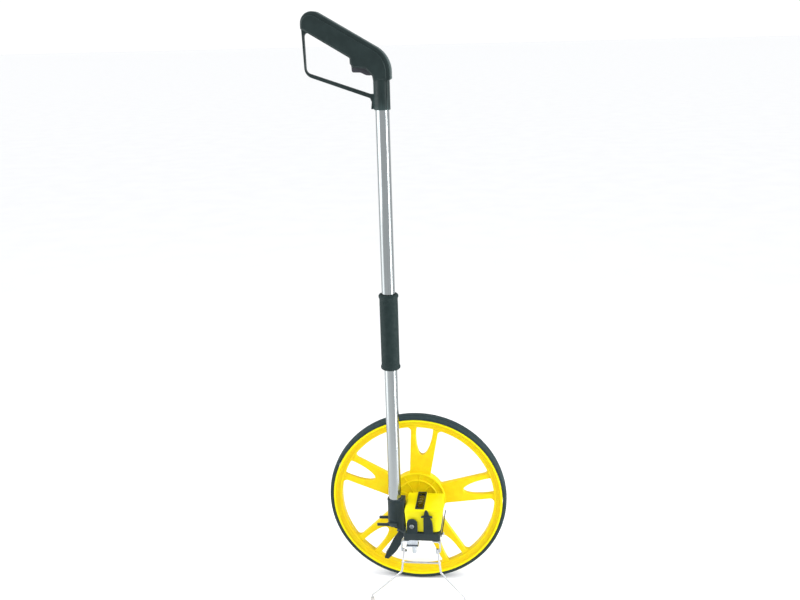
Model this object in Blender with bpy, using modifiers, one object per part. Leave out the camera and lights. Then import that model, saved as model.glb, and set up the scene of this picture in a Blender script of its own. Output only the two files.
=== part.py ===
"""A folding measuring wheel: a one-metre wheel turns a five-digit counter, and a pole folds in half on a
hidden link, with a pistol grip on top, a brake trigger, a brake arm and a wire stand.

Sizes are in millimetres and become metres where a shape is made. X is the way the wheel travels, +Z is up,
-Y is the counter's side. The origin is on the ground under the middle of the object's box.
"""

import math

import bmesh
import bpy
from mathutils import Matrix, Vector

MM = 0.001
GAP = 0.3  # left between pieces that touch

# Driving dimensions
WHEEL_ROUND = 1000.0  # rolling circumference
WHEEL_R = WHEEL_ROUND / math.tau
HUB = Vector((0.0, 37.5, WHEEL_R))  # centre of the wheel
POLE = Vector((-34.2, HUB.y - 55.0, 0.0))  # where the pole's axis meets the ground
RING_STEPS = 60

# Wheel, measured from the hub; y runs along the axle, towards the back
TYRE_HALF = 11.0
RIM_R = 152.0
RIM_HALF = 10.4
RING_IN_R = 137.0
HUB_R = 50.0
HUB_FACE = 9.0
HUB_BOSS = 12.0
SPOKES = 5
SPOKE_PHASE = math.radians(83.5)
SPOKE_HALF_IN = 18.5
SPOKE_HALF_OUT = 24.3
SLOT_HALF = 15.0
SLOT_TIP_R = 83.5
WEB_HALF = 5.0
AXLE_R = 4.0
GEAR_TEETH = 12
GEAR_PITCH_R = 6.0
COUNTER_DX = 10.3  # the counter's shaft from the axle
COUNTER_DZ = math.sqrt((2 * GEAR_PITCH_R) ** 2 - COUNTER_DX**2)

# Counter block, measured from the hub
BLOCK_LEFT = -15.1
BLOCK_RIGHT = 53.0
LEAN_LEFT = 2.8  # how far each side of the cover comes in by its lower edge
LEAN_RIGHT = 6.3
BLOCK_FRONT = -85.0
BLOCK_TOP = 18.0
BASE_TOP = -23.5
BASE_BOTTOM = -38.0
BASE_LEFT = -16.5
BASE_RIGHT = 46.3
POCKET_FLOOR = BASE_BOTTOM + 3.5
BASE_FRONT = -90.0
PLATE_BACK = -14.0
PLATE_FRONT = -18.0
DRUM_R = 9.3
DRUM_FIRST_Y = -79.8
DRUM_PITCH = 8.8
DRUMS = 5
WINDOW_X = (4.4, 17.4)
WINDOW_Y = (-81.0, -20.4)
FRAME_MARGIN = 1.1

# Pole
TUBE_R = 11.0
TUBE_IN_R = 10.0
SOCKET_R = 13.2
TINE_THICK = 3.2
FOLD_Z = 488.0
LINK_LENGTH = 30.0
SLEEVE_LOW = 420.0
SLEEVE_HIGH = 553.0
SLEEVE_R = 15.3
LIP_R = 16.5

# Handle
HANDLE_HALF = 14.5
GUARD_HALF = 6.0
COLLAR_R = 12.9
TRIGGER_PIVOT = Vector((-52.0, POLE.y, 910.0))
TRIGGER_HALF = 4.0

SIDE_SCREWS_Y = (-64.0, -46.0)
SIDE_SCREWS_Z = -27.4
COVER_SCREW = (-1.9, -10.5)
CLAMP = Vector((-0.4, -72.0, 0.0))  # the clamp bolt's axis
CLAMP_PLATE_TOP = 104.8

# Brake arm, a blade that points down beside the wheel
BRAKE_PIVOT = HUB + Vector((-24.0, -34.0, -50.0))
BRAKE_DOWN = Vector((-31.0, 0.0, -55.0)).normalized()
BRAKE_ACROSS = Vector((BRAKE_DOWN.z, 0.0, -BRAKE_DOWN.x)) * -1.0
BRAKE_LENGTH = 66.5

# Stand
STAND_Y = HUB.y - 86.0
STAND_FOOT_Y = HUB.y - 91.0
STAND_TOP = 103.0
STAND_KNEE = 60.0
STAND_TOE = 13.5
STAND_BAR = 78.0
STAND_LEFT_X = (-16.5, -21.5, -75.0)  # at the pivot, the knee and the toe
STAND_RIGHT_X = (41.5, 46.5, 88.0)
WIRE_R = 1.7

# Reset lever, on the counter's right side
RESET_PIVOT = HUB + Vector((48.2, -72.0, -33.0))


def clear_scene():
    for thing in list(bpy.data.objects):
        bpy.data.objects.remove(thing)


def new_collection(name):
    made = bpy.data.collections.new(name)
    bpy.context.scene.collection.children.link(made)
    return made


def new_material(name, colour, roughness, metallic=0.0):
    made = bpy.data.materials.new(name)
    made.use_nodes = True
    shader = made.node_tree.nodes["Principled BSDF"]
    shader.inputs["Base Color"].default_value = (*colour, 1.0)
    shader.inputs["Roughness"].default_value = roughness
    shader.inputs["Metallic"].default_value = metallic
    made.diffuse_color = (*colour, 1.0)
    return made


def new_body(name, centre):
    """An empty on a moving body's joint axis."""
    made = bpy.data.objects.new(name, None)
    made.empty_display_size = 0.02
    made.location = Vector(centre) * MM
    parts.objects.link(made)
    return made


def finish_mesh(mesh, smooth):
    if smooth:
        mesh.shade_smooth()
        mesh.set_sharp_from_angle(angle=math.radians(35))
    return mesh


def add(name, mesh, material=None, body=None, smooth=True):
    """A part in its body, or a cutter where no material is given."""
    made = bpy.data.objects.new(name, finish_mesh(mesh, smooth))
    if material is None:
        cutters.objects.link(made)
        made.hide_render = True
        made.display_type = "WIRE"
        return made
    parts.objects.link(made)
    mesh.materials.append(material)
    if body is not None:
        made.parent = body
        made.matrix_parent_inverse = Matrix.Translation(-body.location)
    return made


def mesh_of(shape, name):
    mesh = bpy.data.meshes.new(name)
    shape.to_mesh(mesh)
    shape.free()
    return mesh


def block(name, low, high, material=None, body=None, rounding=0.0, segments=2):
    """A box between two corners, its edges rounded where a rounding is given."""
    low = Vector(low) * MM
    high = Vector(high) * MM
    shape = bmesh.new()
    bmesh.ops.create_cube(shape, size=1.0)
    bmesh.ops.scale(shape, vec=high - low, verts=shape.verts)
    bmesh.ops.translate(shape, vec=(low + high) / 2, verts=shape.verts)
    if rounding:
        bmesh.ops.bevel(
            shape,
            geom=list(shape.edges),
            offset=rounding * MM,
            segments=segments,
            profile=0.5,
            affect="EDGES",
        )
    return add(name, mesh_of(shape, name), material, body)


def rod(name, start, end, radius, material=None, body=None, sides=24, end_radius=None):
    """A cylinder, cone or prism from one point to another."""
    start = Vector(start) * MM
    end = Vector(end) * MM
    along = end - start
    turn = along.to_track_quat("Z", "Y").to_matrix().to_4x4()
    shape = bmesh.new()
    bmesh.ops.create_cone(
        shape,
        cap_ends=True,
        segments=sides,
        radius1=radius * MM,
        radius2=(radius if end_radius is None else end_radius) * MM,
        depth=along.length,
        matrix=Matrix.Translation((start + end) / 2) @ turn,
    )
    return add(name, mesh_of(shape, name), material, body)


AXIS_TURN = {
    "Z": (0.0, 0.0, 0.0),
    "Y": (-math.pi / 2, 0.0, 0.0),
    "X": (0.0, math.pi / 2, 0.0),
}


def turned(name, profile, centre, axis, material=None, body=None, steps=48):
    """A profile of (radius, height along the axis) points turned about the axis.

    It runs down its outer side, and is closed on itself where it stays clear of the axis.
    """
    mesh = bpy.data.meshes.new(name)
    points = [(r * MM, 0.0, h * MM) for r, h in profile]
    edges = [(i, i + 1) for i in range(len(points) - 1)]
    if min(r for r, _ in profile) > 0:
        edges.append((len(points) - 1, 0))
    mesh.from_pydata(points, edges, [])
    made = add(name, mesh, material, None)
    made.location = Vector(centre) * MM
    made.rotation_euler = AXIS_TURN[axis]
    if body is not None:
        made.parent = body
        made.matrix_parent_inverse = Matrix.Translation(-body.location)
    screw = made.modifiers.new("turn", "SCREW")
    screw.angle = math.tau
    screw.steps = steps
    screw.render_steps = steps
    screw.use_merge_vertices = True
    screw.merge_threshold = 1e-5
    screw.use_smooth_shade = True
    return made


def rounded(corners, radius, segments=4):
    """The outline with an arc at each corner. A radius may be one number, or one for each corner."""
    count = len(corners)
    radii = radius if isinstance(radius, (list, tuple)) else [radius] * count
    outline = []
    for i, (corner, r) in enumerate(zip(corners, radii)):
        here = Vector(corner)
        back = (Vector(corners[i - 1]) - here).normalized()
        ahead = (Vector(corners[(i + 1) % count]) - here).normalized()
        half = math.acos(max(-1.0, min(1.0, back.dot(ahead)))) / 2
        if r <= 0 or half > math.radians(86):
            outline.append(tuple(here))
            continue
        reach = r / math.tan(half)
        centre = here + (back + ahead).normalized() * (r / math.sin(half))
        start = here + back * reach - centre
        end = here + ahead * reach - centre
        turn = start.angle_signed(end)
        for step in range(segments + 1):
            spoke = start.copy()
            spoke.rotate(Matrix.Rotation(-turn * step / segments, 2))
            outline.append(tuple(centre + spoke))
    return outline


def circle(centre, radius, sides=24, phase=0.0):
    angles = [phase + math.tau * i / sides for i in range(sides)]
    return [(centre[0] + radius * math.cos(a), centre[1] + radius * math.sin(a)) for a in angles]


PLANE_TURN = {
    "XZ": (math.pi / 2, 0.0, 0.0),
    "YZ": (math.pi / 2, 0.0, math.pi / 2),
    "XY": (0.0, 0.0, 0.0),
}


def slab(name, outlines, plane, low, high, material=None, body=None, bevel=0.0):
    """Flat outlines, the first with the others as its holes, made thick from low to high across the plane."""
    curve = bpy.data.curves.new(name, "CURVE")
    curve.dimensions = "2D"
    curve.fill_mode = "BOTH"
    curve.extrude = ((high - low) / 2 - bevel) * MM
    curve.bevel_depth = bevel * MM
    curve.bevel_resolution = 0
    curve.offset = -bevel * MM
    for outline in outlines:
        spline = curve.splines.new("POLY")
        spline.points.add(len(outline) - 1)
        for point, (a, b) in zip(spline.points, outline):
            point.co = (a * MM, b * MM, 0.0, 1.0)
        spline.use_cyclic_u = True
    guide = bpy.data.objects.new(name + "_outline", curve)
    across = {"XZ": (0, 1, 0), "YZ": (1, 0, 0), "XY": (0, 0, 1)}[plane]
    guide.location = Vector(across) * ((low + high) / 2 * MM)
    guide.rotation_euler = PLANE_TURN[plane]
    return add(name, made_mesh(guide, name), material, body)


def made_mesh(guide, name):
    """A curve's evaluated mesh in world space, its caps welded; the curve is removed."""
    bpy.context.scene.collection.objects.link(guide)
    bpy.context.view_layer.update()
    graph = bpy.context.evaluated_depsgraph_get()
    mesh = bpy.data.meshes.new_from_object(guide.evaluated_get(graph))
    mesh.transform(guide.matrix_world)
    mesh.name = name
    shape = bmesh.new()
    shape.from_mesh(mesh)
    bmesh.ops.remove_doubles(shape, verts=shape.verts, dist=1e-6)
    bmesh.ops.recalc_face_normals(shape, faces=shape.faces)
    shape.to_mesh(mesh)
    shape.free()
    curve = guide.data
    bpy.data.objects.remove(guide)
    bpy.data.curves.remove(curve)
    return mesh


def wire(name, points, radius, material=None, body=None, resolution=2):
    """A round wire along the points."""
    curve = bpy.data.curves.new(name, "CURVE")
    curve.dimensions = "3D"
    curve.bevel_depth = radius * MM
    curve.bevel_resolution = resolution
    curve.use_fill_caps = True
    spline = curve.splines.new("POLY")
    spline.points.add(len(points) - 1)
    for point, place in zip(spline.points, points):
        point.co = (*(Vector(place) * MM), 1.0)
    guide = bpy.data.objects.new(name + "_path", curve)
    return add(name, made_mesh(guide, name), material, body)


def bent(points, radius, segments=5):
    """A path through the points, with an arc of this radius at each corner between them."""
    path = [Vector(points[0])]
    for before, corner, after in zip(points, points[1:], points[2:]):
        corner = Vector(corner)
        back = (Vector(before) - corner).normalized()
        ahead = (Vector(after) - corner).normalized()
        half = back.angle(ahead) / 2
        reach = min(radius / math.tan(half), 0.45 * (Vector(before) - corner).length)
        for step in range(segments + 1):
            t = step / segments
            start = corner + back * reach
            end = corner + ahead * reach
            path.append(start.lerp(corner, t).lerp(corner.lerp(end, t), t))
    path.append(Vector(points[-1]))
    return path


def combine(piece, operation, tools):
    for tool in tools:
        boolean = piece.modifiers.new(operation.lower(), "BOOLEAN")
        boolean.operation = operation
        boolean.solver = "EXACT"
        boolean.object = tool
    return piece


def cut(piece, *tools):
    return combine(piece, "DIFFERENCE", tools)


def join(piece, *tools):
    return combine(piece, "UNION", tools)


def hub_point(x, y, z):
    return HUB + Vector((x, y, z))


def wheel_outline(radius, angle):
    return (HUB.x + radius * math.cos(angle), HUB.z + radius * math.sin(angle))


def gap_outline(spoke):
    """The opening between one double spoke and the next."""
    phase = SPOKE_PHASE + spoke * math.tau / SPOKES
    next_phase = phase + math.tau / SPOKES
    outer_turn = math.asin(SPOKE_HALF_OUT / RING_IN_R)
    inner_turn = math.asin(SPOKE_HALF_IN / HUB_R)
    corners = []
    radii = []
    for i in range(7):
        share = i / 6
        angle = phase + outer_turn + share * (next_phase - phase - 2 * outer_turn)
        corners.append(wheel_outline(RING_IN_R, angle))
        radii.append(7.0 if i in (0, 6) else 0.0)
    for i in range(4):
        share = i / 3
        angle = next_phase - inner_turn - share * (next_phase - phase - 2 * inner_turn)
        corners.append(wheel_outline(HUB_R, angle))
        radii.append(5.0 if i in (0, 3) else 0.0)
    return rounded(corners, radii, 4)


def slot_outline(spoke):
    """The opening inside a double spoke: a half ellipse with its round end towards the hub."""
    phase = SPOKE_PHASE + spoke * math.tau / SPOKES
    along = Vector((math.cos(phase), math.sin(phase)))
    across = Vector((-along.y, along.x))
    length = RING_IN_R - SLOT_TIP_R
    corners = []
    for i in range(13):
        turn = math.pi * i / 12
        far = RING_IN_R - length * math.sin(turn)
        side = SLOT_HALF * math.cos(turn)
        point = along * far + across * side
        corners.append((HUB.x + point.x, HUB.z + point.y))
    return rounded(corners, [3.5] + [0.0] * 11 + [3.5], 3)


def gear_outline(centre, teeth, phase):
    """A spur gear's outline: narrow straight-sided teeth, with play between them and their mates."""
    pitch = math.tau / teeth
    outline = []
    for tooth in range(teeth):
        middle = phase + tooth * pitch
        for share, radius in ((-0.26, 5.0), (-0.11, 6.7), (0.11, 6.7), (0.26, 5.0)):
            angle = middle + share * pitch
            outline.append((centre[0] + radius * math.cos(angle), centre[1] + radius * math.sin(angle)))
    return outline


def make_wheel(body):
    tyre = [(153.4, 11.0), (157.0, 10.3), (158.7, 7.6), (WHEEL_R, 3.4)]
    tyre += [(r, -h) for r, h in reversed(tyre)]
    tyre += [(RIM_R + GAP, -10.2), (RIM_R + GAP, 10.2)]
    turned("tyre", tyre, HUB, "Y", rubber_black, body, RING_STEPS)

    rim = [(RIM_R, RIM_HALF), (RIM_R, -RIM_HALF), (148.6, -RIM_HALF), (147.4, -7.0), (RING_IN_R, -6.2)]
    rim += [(RING_IN_R, 6.2), (147.4, 7.0), (148.6, RIM_HALF)]
    wheel = turned("wheel", rim, HUB, "Y", yellow_plastic, body, RING_STEPS)

    holes = [gap_outline(k) for k in range(SPOKES)] + [slot_outline(k) for k in range(SPOKES)]
    edge = circle((HUB.x, HUB.z), RING_IN_R + 4.0, 60)
    web = slab("wheel_web", [edge] + holes, "XZ", HUB.y - WEB_HALF, HUB.y + WEB_HALF)

    face = [(HUB_R, 7.5), (HUB_R, -HUB_FACE), (46.5, -HUB_FACE), (46.5, -6.4), (36.5, -6.4)]
    face += [(36.5, -HUB_FACE), (33.5, -HUB_FACE), (33.5, -6.4), (12.0, -6.4), (11.0, -HUB_BOSS)]
    face += [(AXLE_R + GAP, -HUB_BOSS), (AXLE_R + GAP, HUB_BOSS), (11.0, HUB_BOSS), (12.0, 7.5)]
    hub = turned("wheel_hub", face, HUB, "Y", None, None, 32)
    bars = []
    for k in range(SPOKES):
        bar = block("hub_rib_%d" % k, (-47.5, -8.4, -1.2), (47.5, -5.8, 1.2))
        bar.location = HUB * MM
        bar.rotation_euler = (0.0, -(SPOKE_PHASE + k * math.pi / SPOKES), 0.0)
        bars.append(bar)
    bore = rod("hub_bore", hub_point(0, -20, 0), hub_point(0, 20, 0), AXLE_R + GAP, sides=32)
    join(wheel, web, hub, *bars)
    cut(wheel, bore)

    rod("axle", hub_point(0, -33.5, 0), hub_point(0, 19.8, 0), AXLE_R, steel, body, 32)
    washer = [(8.5, 0.6), (8.5, -0.6), (AXLE_R + GAP, -0.6), (AXLE_R + GAP, 0.6)]
    turned("axle_washer_front", washer, hub_point(0, -12.95, 0), "Y", steel, body, 20)
    turned("axle_washer_back", washer, hub_point(0, 12.95, 0), "Y", steel, body, 20)
    nut = rod("axle_nut", hub_point(0, 13.9, 0), hub_point(0, 18.4, 0), 7.5, steel, body, 6)
    cut(nut, rod("axle_nut_bore", hub_point(0, 12, 0), hub_point(0, 20, 0), AXLE_R + GAP, sides=32))

    pitch = math.tau / GEAR_TEETH
    mate = math.atan2(COUNTER_DZ, COUNTER_DX)
    outline = gear_outline((HUB.x, HUB.z), GEAR_TEETH, mate)
    bore = circle((HUB.x, HUB.z), AXLE_R + 0.25, 24)
    slab("drive_gear", [outline, bore], "XZ", HUB.y - 29.6, HUB.y - 26.4, brass, body)
    clip = [(6.2, 1.1), (6.2, -1.1), (AXLE_R + GAP, -1.1), (AXLE_R + GAP, 1.1)]
    turned("axle_collar", clip, hub_point(0, -31.0, 0), "Y", steel, body, 20)
    return pitch, mate


def drum_body(number):
    place = hub_point(COUNTER_DX, DRUM_FIRST_Y + (number - 0.5) * DRUM_PITCH, COUNTER_DZ)
    return new_body("body_digit_%d" % number, place)


def make_counter(pitch, mate):
    """The shaft with its gear and the first drum, then the drums that count each turn of the one before."""
    middle = (HUB.x + COUNTER_DX, HUB.z + COUNTER_DZ)
    for number in range(1, DRUMS + 1):
        body = drum_body(number)
        low = HUB.y + DRUM_FIRST_Y + (number - 1) * DRUM_PITCH + 0.2
        high = low + DRUM_PITCH - 0.4
        rim = [(DRUM_R, high), (DRUM_R, low), (7.9, low), (7.9, high - 1.6), (1.9, high - 1.6), (1.9, high)]
        turned("digit_drum_%d" % number, rim, (middle[0], 0.0, middle[1]), "Y", drum_black, body, 20)
        if number > 1:
            continue
        rod(
            "counter_shaft",
            hub_point(COUNTER_DX, -82.2, COUNTER_DZ),
            hub_point(COUNTER_DX, -26.3, COUNTER_DZ),
            1.5,
            steel,
            body,
            16,
        )
        outline = gear_outline(middle, GEAR_TEETH, mate + math.pi + pitch / 2)
        bore = circle(middle, 1.8, 16)
        slab("counter_gear", [outline, bore], "XZ", HUB.y - 29.6, HUB.y - 26.4, brass, body)

    legs_top = hub_point(18.6, -34.1, COUNTER_DZ + 4.0)
    legs = block("counter_frame", hub_point(2.0, -82.2, -10.0), legs_top, steel)
    inside = block("counter_frame_inside", hub_point(-6.0, -80.5, -8.6), hub_point(26.0, -35.4, 30.0))
    low = hub_point(COUNTER_DX, -90.0, COUNTER_DZ)
    high = hub_point(COUNTER_DX, -30.0, COUNTER_DZ)
    cut(legs, inside, rod("counter_frame_bore", low, high, 1.85, sides=16))


def make_base():
    """The black base under the counter, with the axle's bearing boss at its back and two lugs in front."""
    base = block(
        "base_bracket",
        hub_point(BASE_LEFT, BASE_FRONT, BASE_BOTTOM),
        hub_point(BASE_RIGHT, PLATE_BACK, BASE_TOP),
        black_plastic,
        None,
        2.0,
    )
    plate = block(
        "base_back",
        hub_point(BASE_LEFT + 1.5, PLATE_FRONT, BASE_BOTTOM + 8.0),
        hub_point(BASE_RIGHT - 3.5, PLATE_BACK - 0.5, 13.0),
    )
    boss = rod("base_boss", hub_point(0, -26.0, 0), hub_point(0, PLATE_BACK, 0), 11.1, sides=40)
    lug_left = [(-10.9, -30.0), (7.5, -30.0), (7.5, -6.7)]
    lug_left += [(-1.7 + 9.2 * math.cos(a), -6.7 + 9.2 * math.sin(a)) for a in angles_between(0, math.pi, 8)]
    lug_left.append((-10.9, -6.7))
    lug_right = [(18.0, -30.0), (34.2, -30.0), (34.2, -12.0), (33.0, -2.6), (29.6, 5.6), (28.2, 9.0)]
    lug_right += [(27.3, 13.0), (25.4, 17.2), (23.6, 19.2), (21.8, 19.2)]
    lug_right += [(20.2, 17.2), (19.2, 12.6), (18.6, 9.5)]
    lug_right.append((18.0, 1.0))
    lugs = []
    for name, outline in (("lug_left", lug_left), ("lug_right", lug_right)):
        moved = [(HUB.x + x, HUB.z + z) for x, z in outline]
        lugs.append(slab(name, [moved], "XZ", HUB.y + BASE_FRONT + 0.2, HUB.y + BLOCK_FRONT - 1.3))
    wings = block("lug_wings", hub_point(14.2, -90.6, 6.8), hub_point(33.6, -86.5, 9.6), None, None, 1.0)
    pocket = block("base_pocket", hub_point(-12.0, -80.0, POCKET_FLOOR), hub_point(42.0, -22.0, -20.0))
    bore = rod("base_bore", hub_point(0, -40.0, 0), hub_point(0, -10.0, 0), 9.8, sides=40)
    cover_x, cover_z = COVER_SCREW
    cover_hole = rod(
        "lug_hole",
        hub_point(cover_x, -95.0, cover_z),
        hub_point(cover_x, -86.0, cover_z),
        1.8,
        sides=16,
    )
    bolt_place = HUB + CLAMP
    bolt_hole = rod(
        "bolt_hole", bolt_place + Vector((0, 0, -52)), bolt_place + Vector((0, 0, -20)), 2.4, sides=16
    )
    side_holes = [
        rod(
            "side_hole_%d" % k,
            hub_point(-30.0, y, SIDE_SCREWS_Z),
            hub_point(-8.0, y, SIDE_SCREWS_Z),
            2.0,
            sides=16,
        )
        for k, y in enumerate(SIDE_SCREWS_Y)
    ]
    pin_start = RESET_PIVOT + Vector((-12, 0, 0))
    pin_hole = rod("reset_hole", pin_start, RESET_PIVOT + Vector((2, 0, 0)), 1.8, sides=16)
    join(base, plate, boss, *lugs, wings)
    cut(base, pocket, bore, cover_hole, bolt_hole, *side_holes, pin_hole)

    race = [(9.5, 2.7), (9.5, -2.7), (AXLE_R + GAP, -2.7), (AXLE_R + GAP, 2.7)]
    turned("bearing_front", race, hub_point(0, -22.9, 0), "Y", brass, None, 24)
    turned("bearing_back", race, hub_point(0, -17.1, 0), "Y", brass, None, 24)


def angles_between(first, last, steps):
    return [first + (last - first) * i / steps for i in range(1, steps)]


def lean(piece):
    """Leans the cover's two sides, so that it is narrower at its lower edge."""
    for vertex in piece.data.vertices:
        drop = (HUB.z + BLOCK_TOP - vertex.co.z / MM) / (BLOCK_TOP - BASE_TOP)
        if vertex.co.x > 0.02:
            vertex.co.x -= LEAN_RIGHT * drop * MM
        elif vertex.co.x < -0.005:
            vertex.co.x += LEAN_LEFT * drop * MM
    return piece


def make_housing():
    """The yellow counter cover: a shell open below, with a window in its top and a hole for the boss."""
    plan = [(BLOCK_LEFT, -18.3), (BLOCK_LEFT, BLOCK_FRONT), (BLOCK_RIGHT, BLOCK_FRONT)]
    plan.append((BLOCK_RIGHT - 4.0, -18.3))
    outside = rounded([(HUB.x + x, HUB.y + y) for x, y in plan], [3.0, 5.0, 7.0, 3.0], 4)
    low = HUB.z + BASE_TOP + GAP
    cover = lean(slab("counter_housing", [outside], "XY", low, HUB.z + BLOCK_TOP, yellow_plastic))
    bevel = cover.modifiers.new("round", "BEVEL")
    bevel.width = 3.0 * MM
    bevel.segments = 3
    bevel.limit_method = "ANGLE"
    bevel.angle_limit = math.radians(60)
    inner = [(BLOCK_LEFT + 2.2, -20.6), (BLOCK_LEFT + 2.2, BLOCK_FRONT + 2.4)]
    inner += [(BLOCK_RIGHT - 2.6, BLOCK_FRONT + 2.4), (BLOCK_RIGHT - 6.4, -20.6)]
    inside = rounded([(HUB.x + x, HUB.y + y) for x, y in inner], 2.5, 3)
    hollow = lean(slab("housing_hollow", [inside], "XY", HUB.z + BASE_TOP - 10.0, HUB.z + BLOCK_TOP - 2.0))
    back = block("housing_back", hub_point(-11.8, -21.5, -30.0), hub_point(11.8, -17.0, 12.0))
    window = block(
        "housing_window",
        hub_point(WINDOW_X[0], WINDOW_Y[0], 10.0),
        hub_point(WINDOW_X[1], WINDOW_Y[1], 25.0),
    )
    cover_x, cover_z = COVER_SCREW
    hole_start = hub_point(cover_x, -90, cover_z)
    hole = rod("housing_screw_hole", hole_start, hub_point(cover_x, -80, cover_z), 1.8, sides=16)
    cut(cover, hollow, back, window, hole)

    lens_low = hub_point(WINDOW_X[0] + GAP, WINDOW_Y[0] + GAP, 15.9)
    lens_high = hub_point(WINDOW_X[1] - GAP, WINDOW_Y[1] - GAP, BLOCK_TOP - 0.6)
    block("window_lens", lens_low, lens_high, clear_plastic)
    outlines = [window_outline(margin) for margin in (FRAME_MARGIN, -1.0)]
    top = HUB.z + BLOCK_TOP + GAP
    slab("window_frame", [rounded(outlines[0], 1.2, 3), outlines[1]], "XY", top, top + 1.2, black_plastic)

    head = [(0.0, -BASE_FRONT + 2.6), (2.4, -BASE_FRONT + 2.6), (4.2, -BASE_FRONT + 1.6)]
    head += [(4.2, -BASE_FRONT + GAP), (1.5, -BASE_FRONT + GAP), (1.5, 81.5), (0.0, 81.5)]
    profile = [(r, -h) for r, h in reversed(head)]
    turned("housing_screw", profile, hub_point(cover_x, 0, cover_z), "Y", steel, None, 20)


def window_outline(margin):
    """The window's corners, moved outwards by a margin."""
    left, right = HUB.x + WINDOW_X[0] - margin, HUB.x + WINDOW_X[1] + margin
    near, far = HUB.y + WINDOW_Y[0] - margin, HUB.y + WINDOW_Y[1] + margin
    return [(left, near), (right, near), (right, far), (left, far)]


def make_socket():
    """The round socket at the pole's foot, with a slanting end and the fork that clips the folded pole."""
    top = HUB.z + 25.0
    bottom = (POLE.x, POLE.y, HUB.z - 38.0)
    socket = rod("pole_socket", bottom, (POLE.x, POLE.y, top), SOCKET_R, black_plastic, None, 40)
    flange = block(
        "socket_flange",
        (POLE.x, POLE.y - 12.7, HUB.z - 40.0),
        (HUB.x + BASE_LEFT - GAP, POLE.y + 12.7, top - 0.6),
    )
    bridge = block(
        "tine_bridge",
        (POLE.x - 10.0, POLE.y - 15.0, HUB.z - 24.0),
        (POLE.x + 5.0, POLE.y + 15.0, HUB.z - 17.0),
    )
    middle = TUBE_R + 0.4 + TINE_THICK / 2
    tines = []
    for name, y in (("tine_front", POLE.y - middle), ("tine_back", POLE.y + middle)):
        low = (POLE.x - 31.0, y - TINE_THICK / 2, HUB.z - 23.0)
        high = (POLE.x - 2.0, y + TINE_THICK / 2, HUB.z - 18.0)
        tines.append(block(name, low, high, None, None, 0.8))
    bore = rod(
        "socket_bore",
        (POLE.x, POLE.y, HUB.z - 18.5),
        (POLE.x, POLE.y, top + 5.0),
        TUBE_R + GAP,
        sides=40,
    )
    under = [(POLE.x - 40.0, HUB.z - 22.6), (POLE.x - 40.0, HUB.z - 70.0), (POLE.x + 20.0, HUB.z - 70.0)]
    under += [(POLE.x + 20.0, HUB.z - 34.9), (POLE.x - 9.5, HUB.z - 22.6)]
    slant = slab("socket_slant", [under], "XZ", POLE.y - 30.0, POLE.y + 30.0)
    screw_hole = rod(
        "socket_screw_hole",
        (POLE.x, POLE.y + 8.0, HUB.z + 6.0),
        (POLE.x, POLE.y + 20.0, HUB.z + 6.0),
        1.9,
        sides=16,
    )
    side_holes = [
        rod(
            "flange_hole_%d" % k,
            hub_point(-28.0, y, SIDE_SCREWS_Z),
            hub_point(-10.0, y, SIDE_SCREWS_Z),
            1.9,
            sides=16,
        )
        for k, y in enumerate(SIDE_SCREWS_Y)
    ]
    join(socket, flange, bridge)
    cut(socket, slant)
    join(socket, *tines)
    cut(socket, bore, screw_hole, *side_holes)

    head = [(0.0, 16.4), (3.4, 16.4), (3.8, 13.6), (1.6, 13.6), (1.6, 8.9), (0.0, 8.9)]
    turned("socket_screw", head, (POLE.x, POLE.y, HUB.z + 6.0), "Y", steel, None, 16)
    for k, y in enumerate(SIDE_SCREWS_Y):
        head = [(0.0, -9.2), (3.2, -9.2), (3.6, -11.7), (1.6, -11.7), (1.6, -25.5), (0.0, -25.5)]
        turned("bracket_screw_%d" % (k + 1), head, hub_point(0, y, SIDE_SCREWS_Z), "X", steel, None, 16)


def fold_cutters(name, pin_z, towards):
    """What clears the link's swing at one end of a tube: a slot on the -X side, and the corner beyond it."""
    end = pin_z + towards * LINK_LENGTH / 2
    slot_low, slot_high = sorted((pin_z - towards * 5.7, end + towards * 4.0))
    slot = block(
        name + "_slot",
        (POLE.x - 14.0, POLE.y - 2.3, slot_low),
        (POLE.x + 5.7, POLE.y + 2.3, slot_high),
    )
    wedge = [
        (POLE.x - 14.0, pin_z + towards * 8.0),
        (POLE.x - 0.5, end - towards * 0.2),
        (POLE.x - 0.5, end + towards * 3.0),
        (POLE.x - 14.0, end + towards * 3.0),
    ]
    corner = slab(name + "_corner", [wedge], "XZ", POLE.y - 15.0, POLE.y + 15.0)
    pin = rod(name + "_pin_hole", (POLE.x, POLE.y - 15, pin_z), (POLE.x, POLE.y + 15, pin_z), 2.3, sides=16)
    return slot, corner, pin


def tube(name, low, high, body):
    wall = [(TUBE_R, high), (TUBE_R, low), (TUBE_IN_R, low), (TUBE_IN_R, high)]
    return turned(name, wall, POLE, "Z", aluminium, body, 40)


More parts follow.
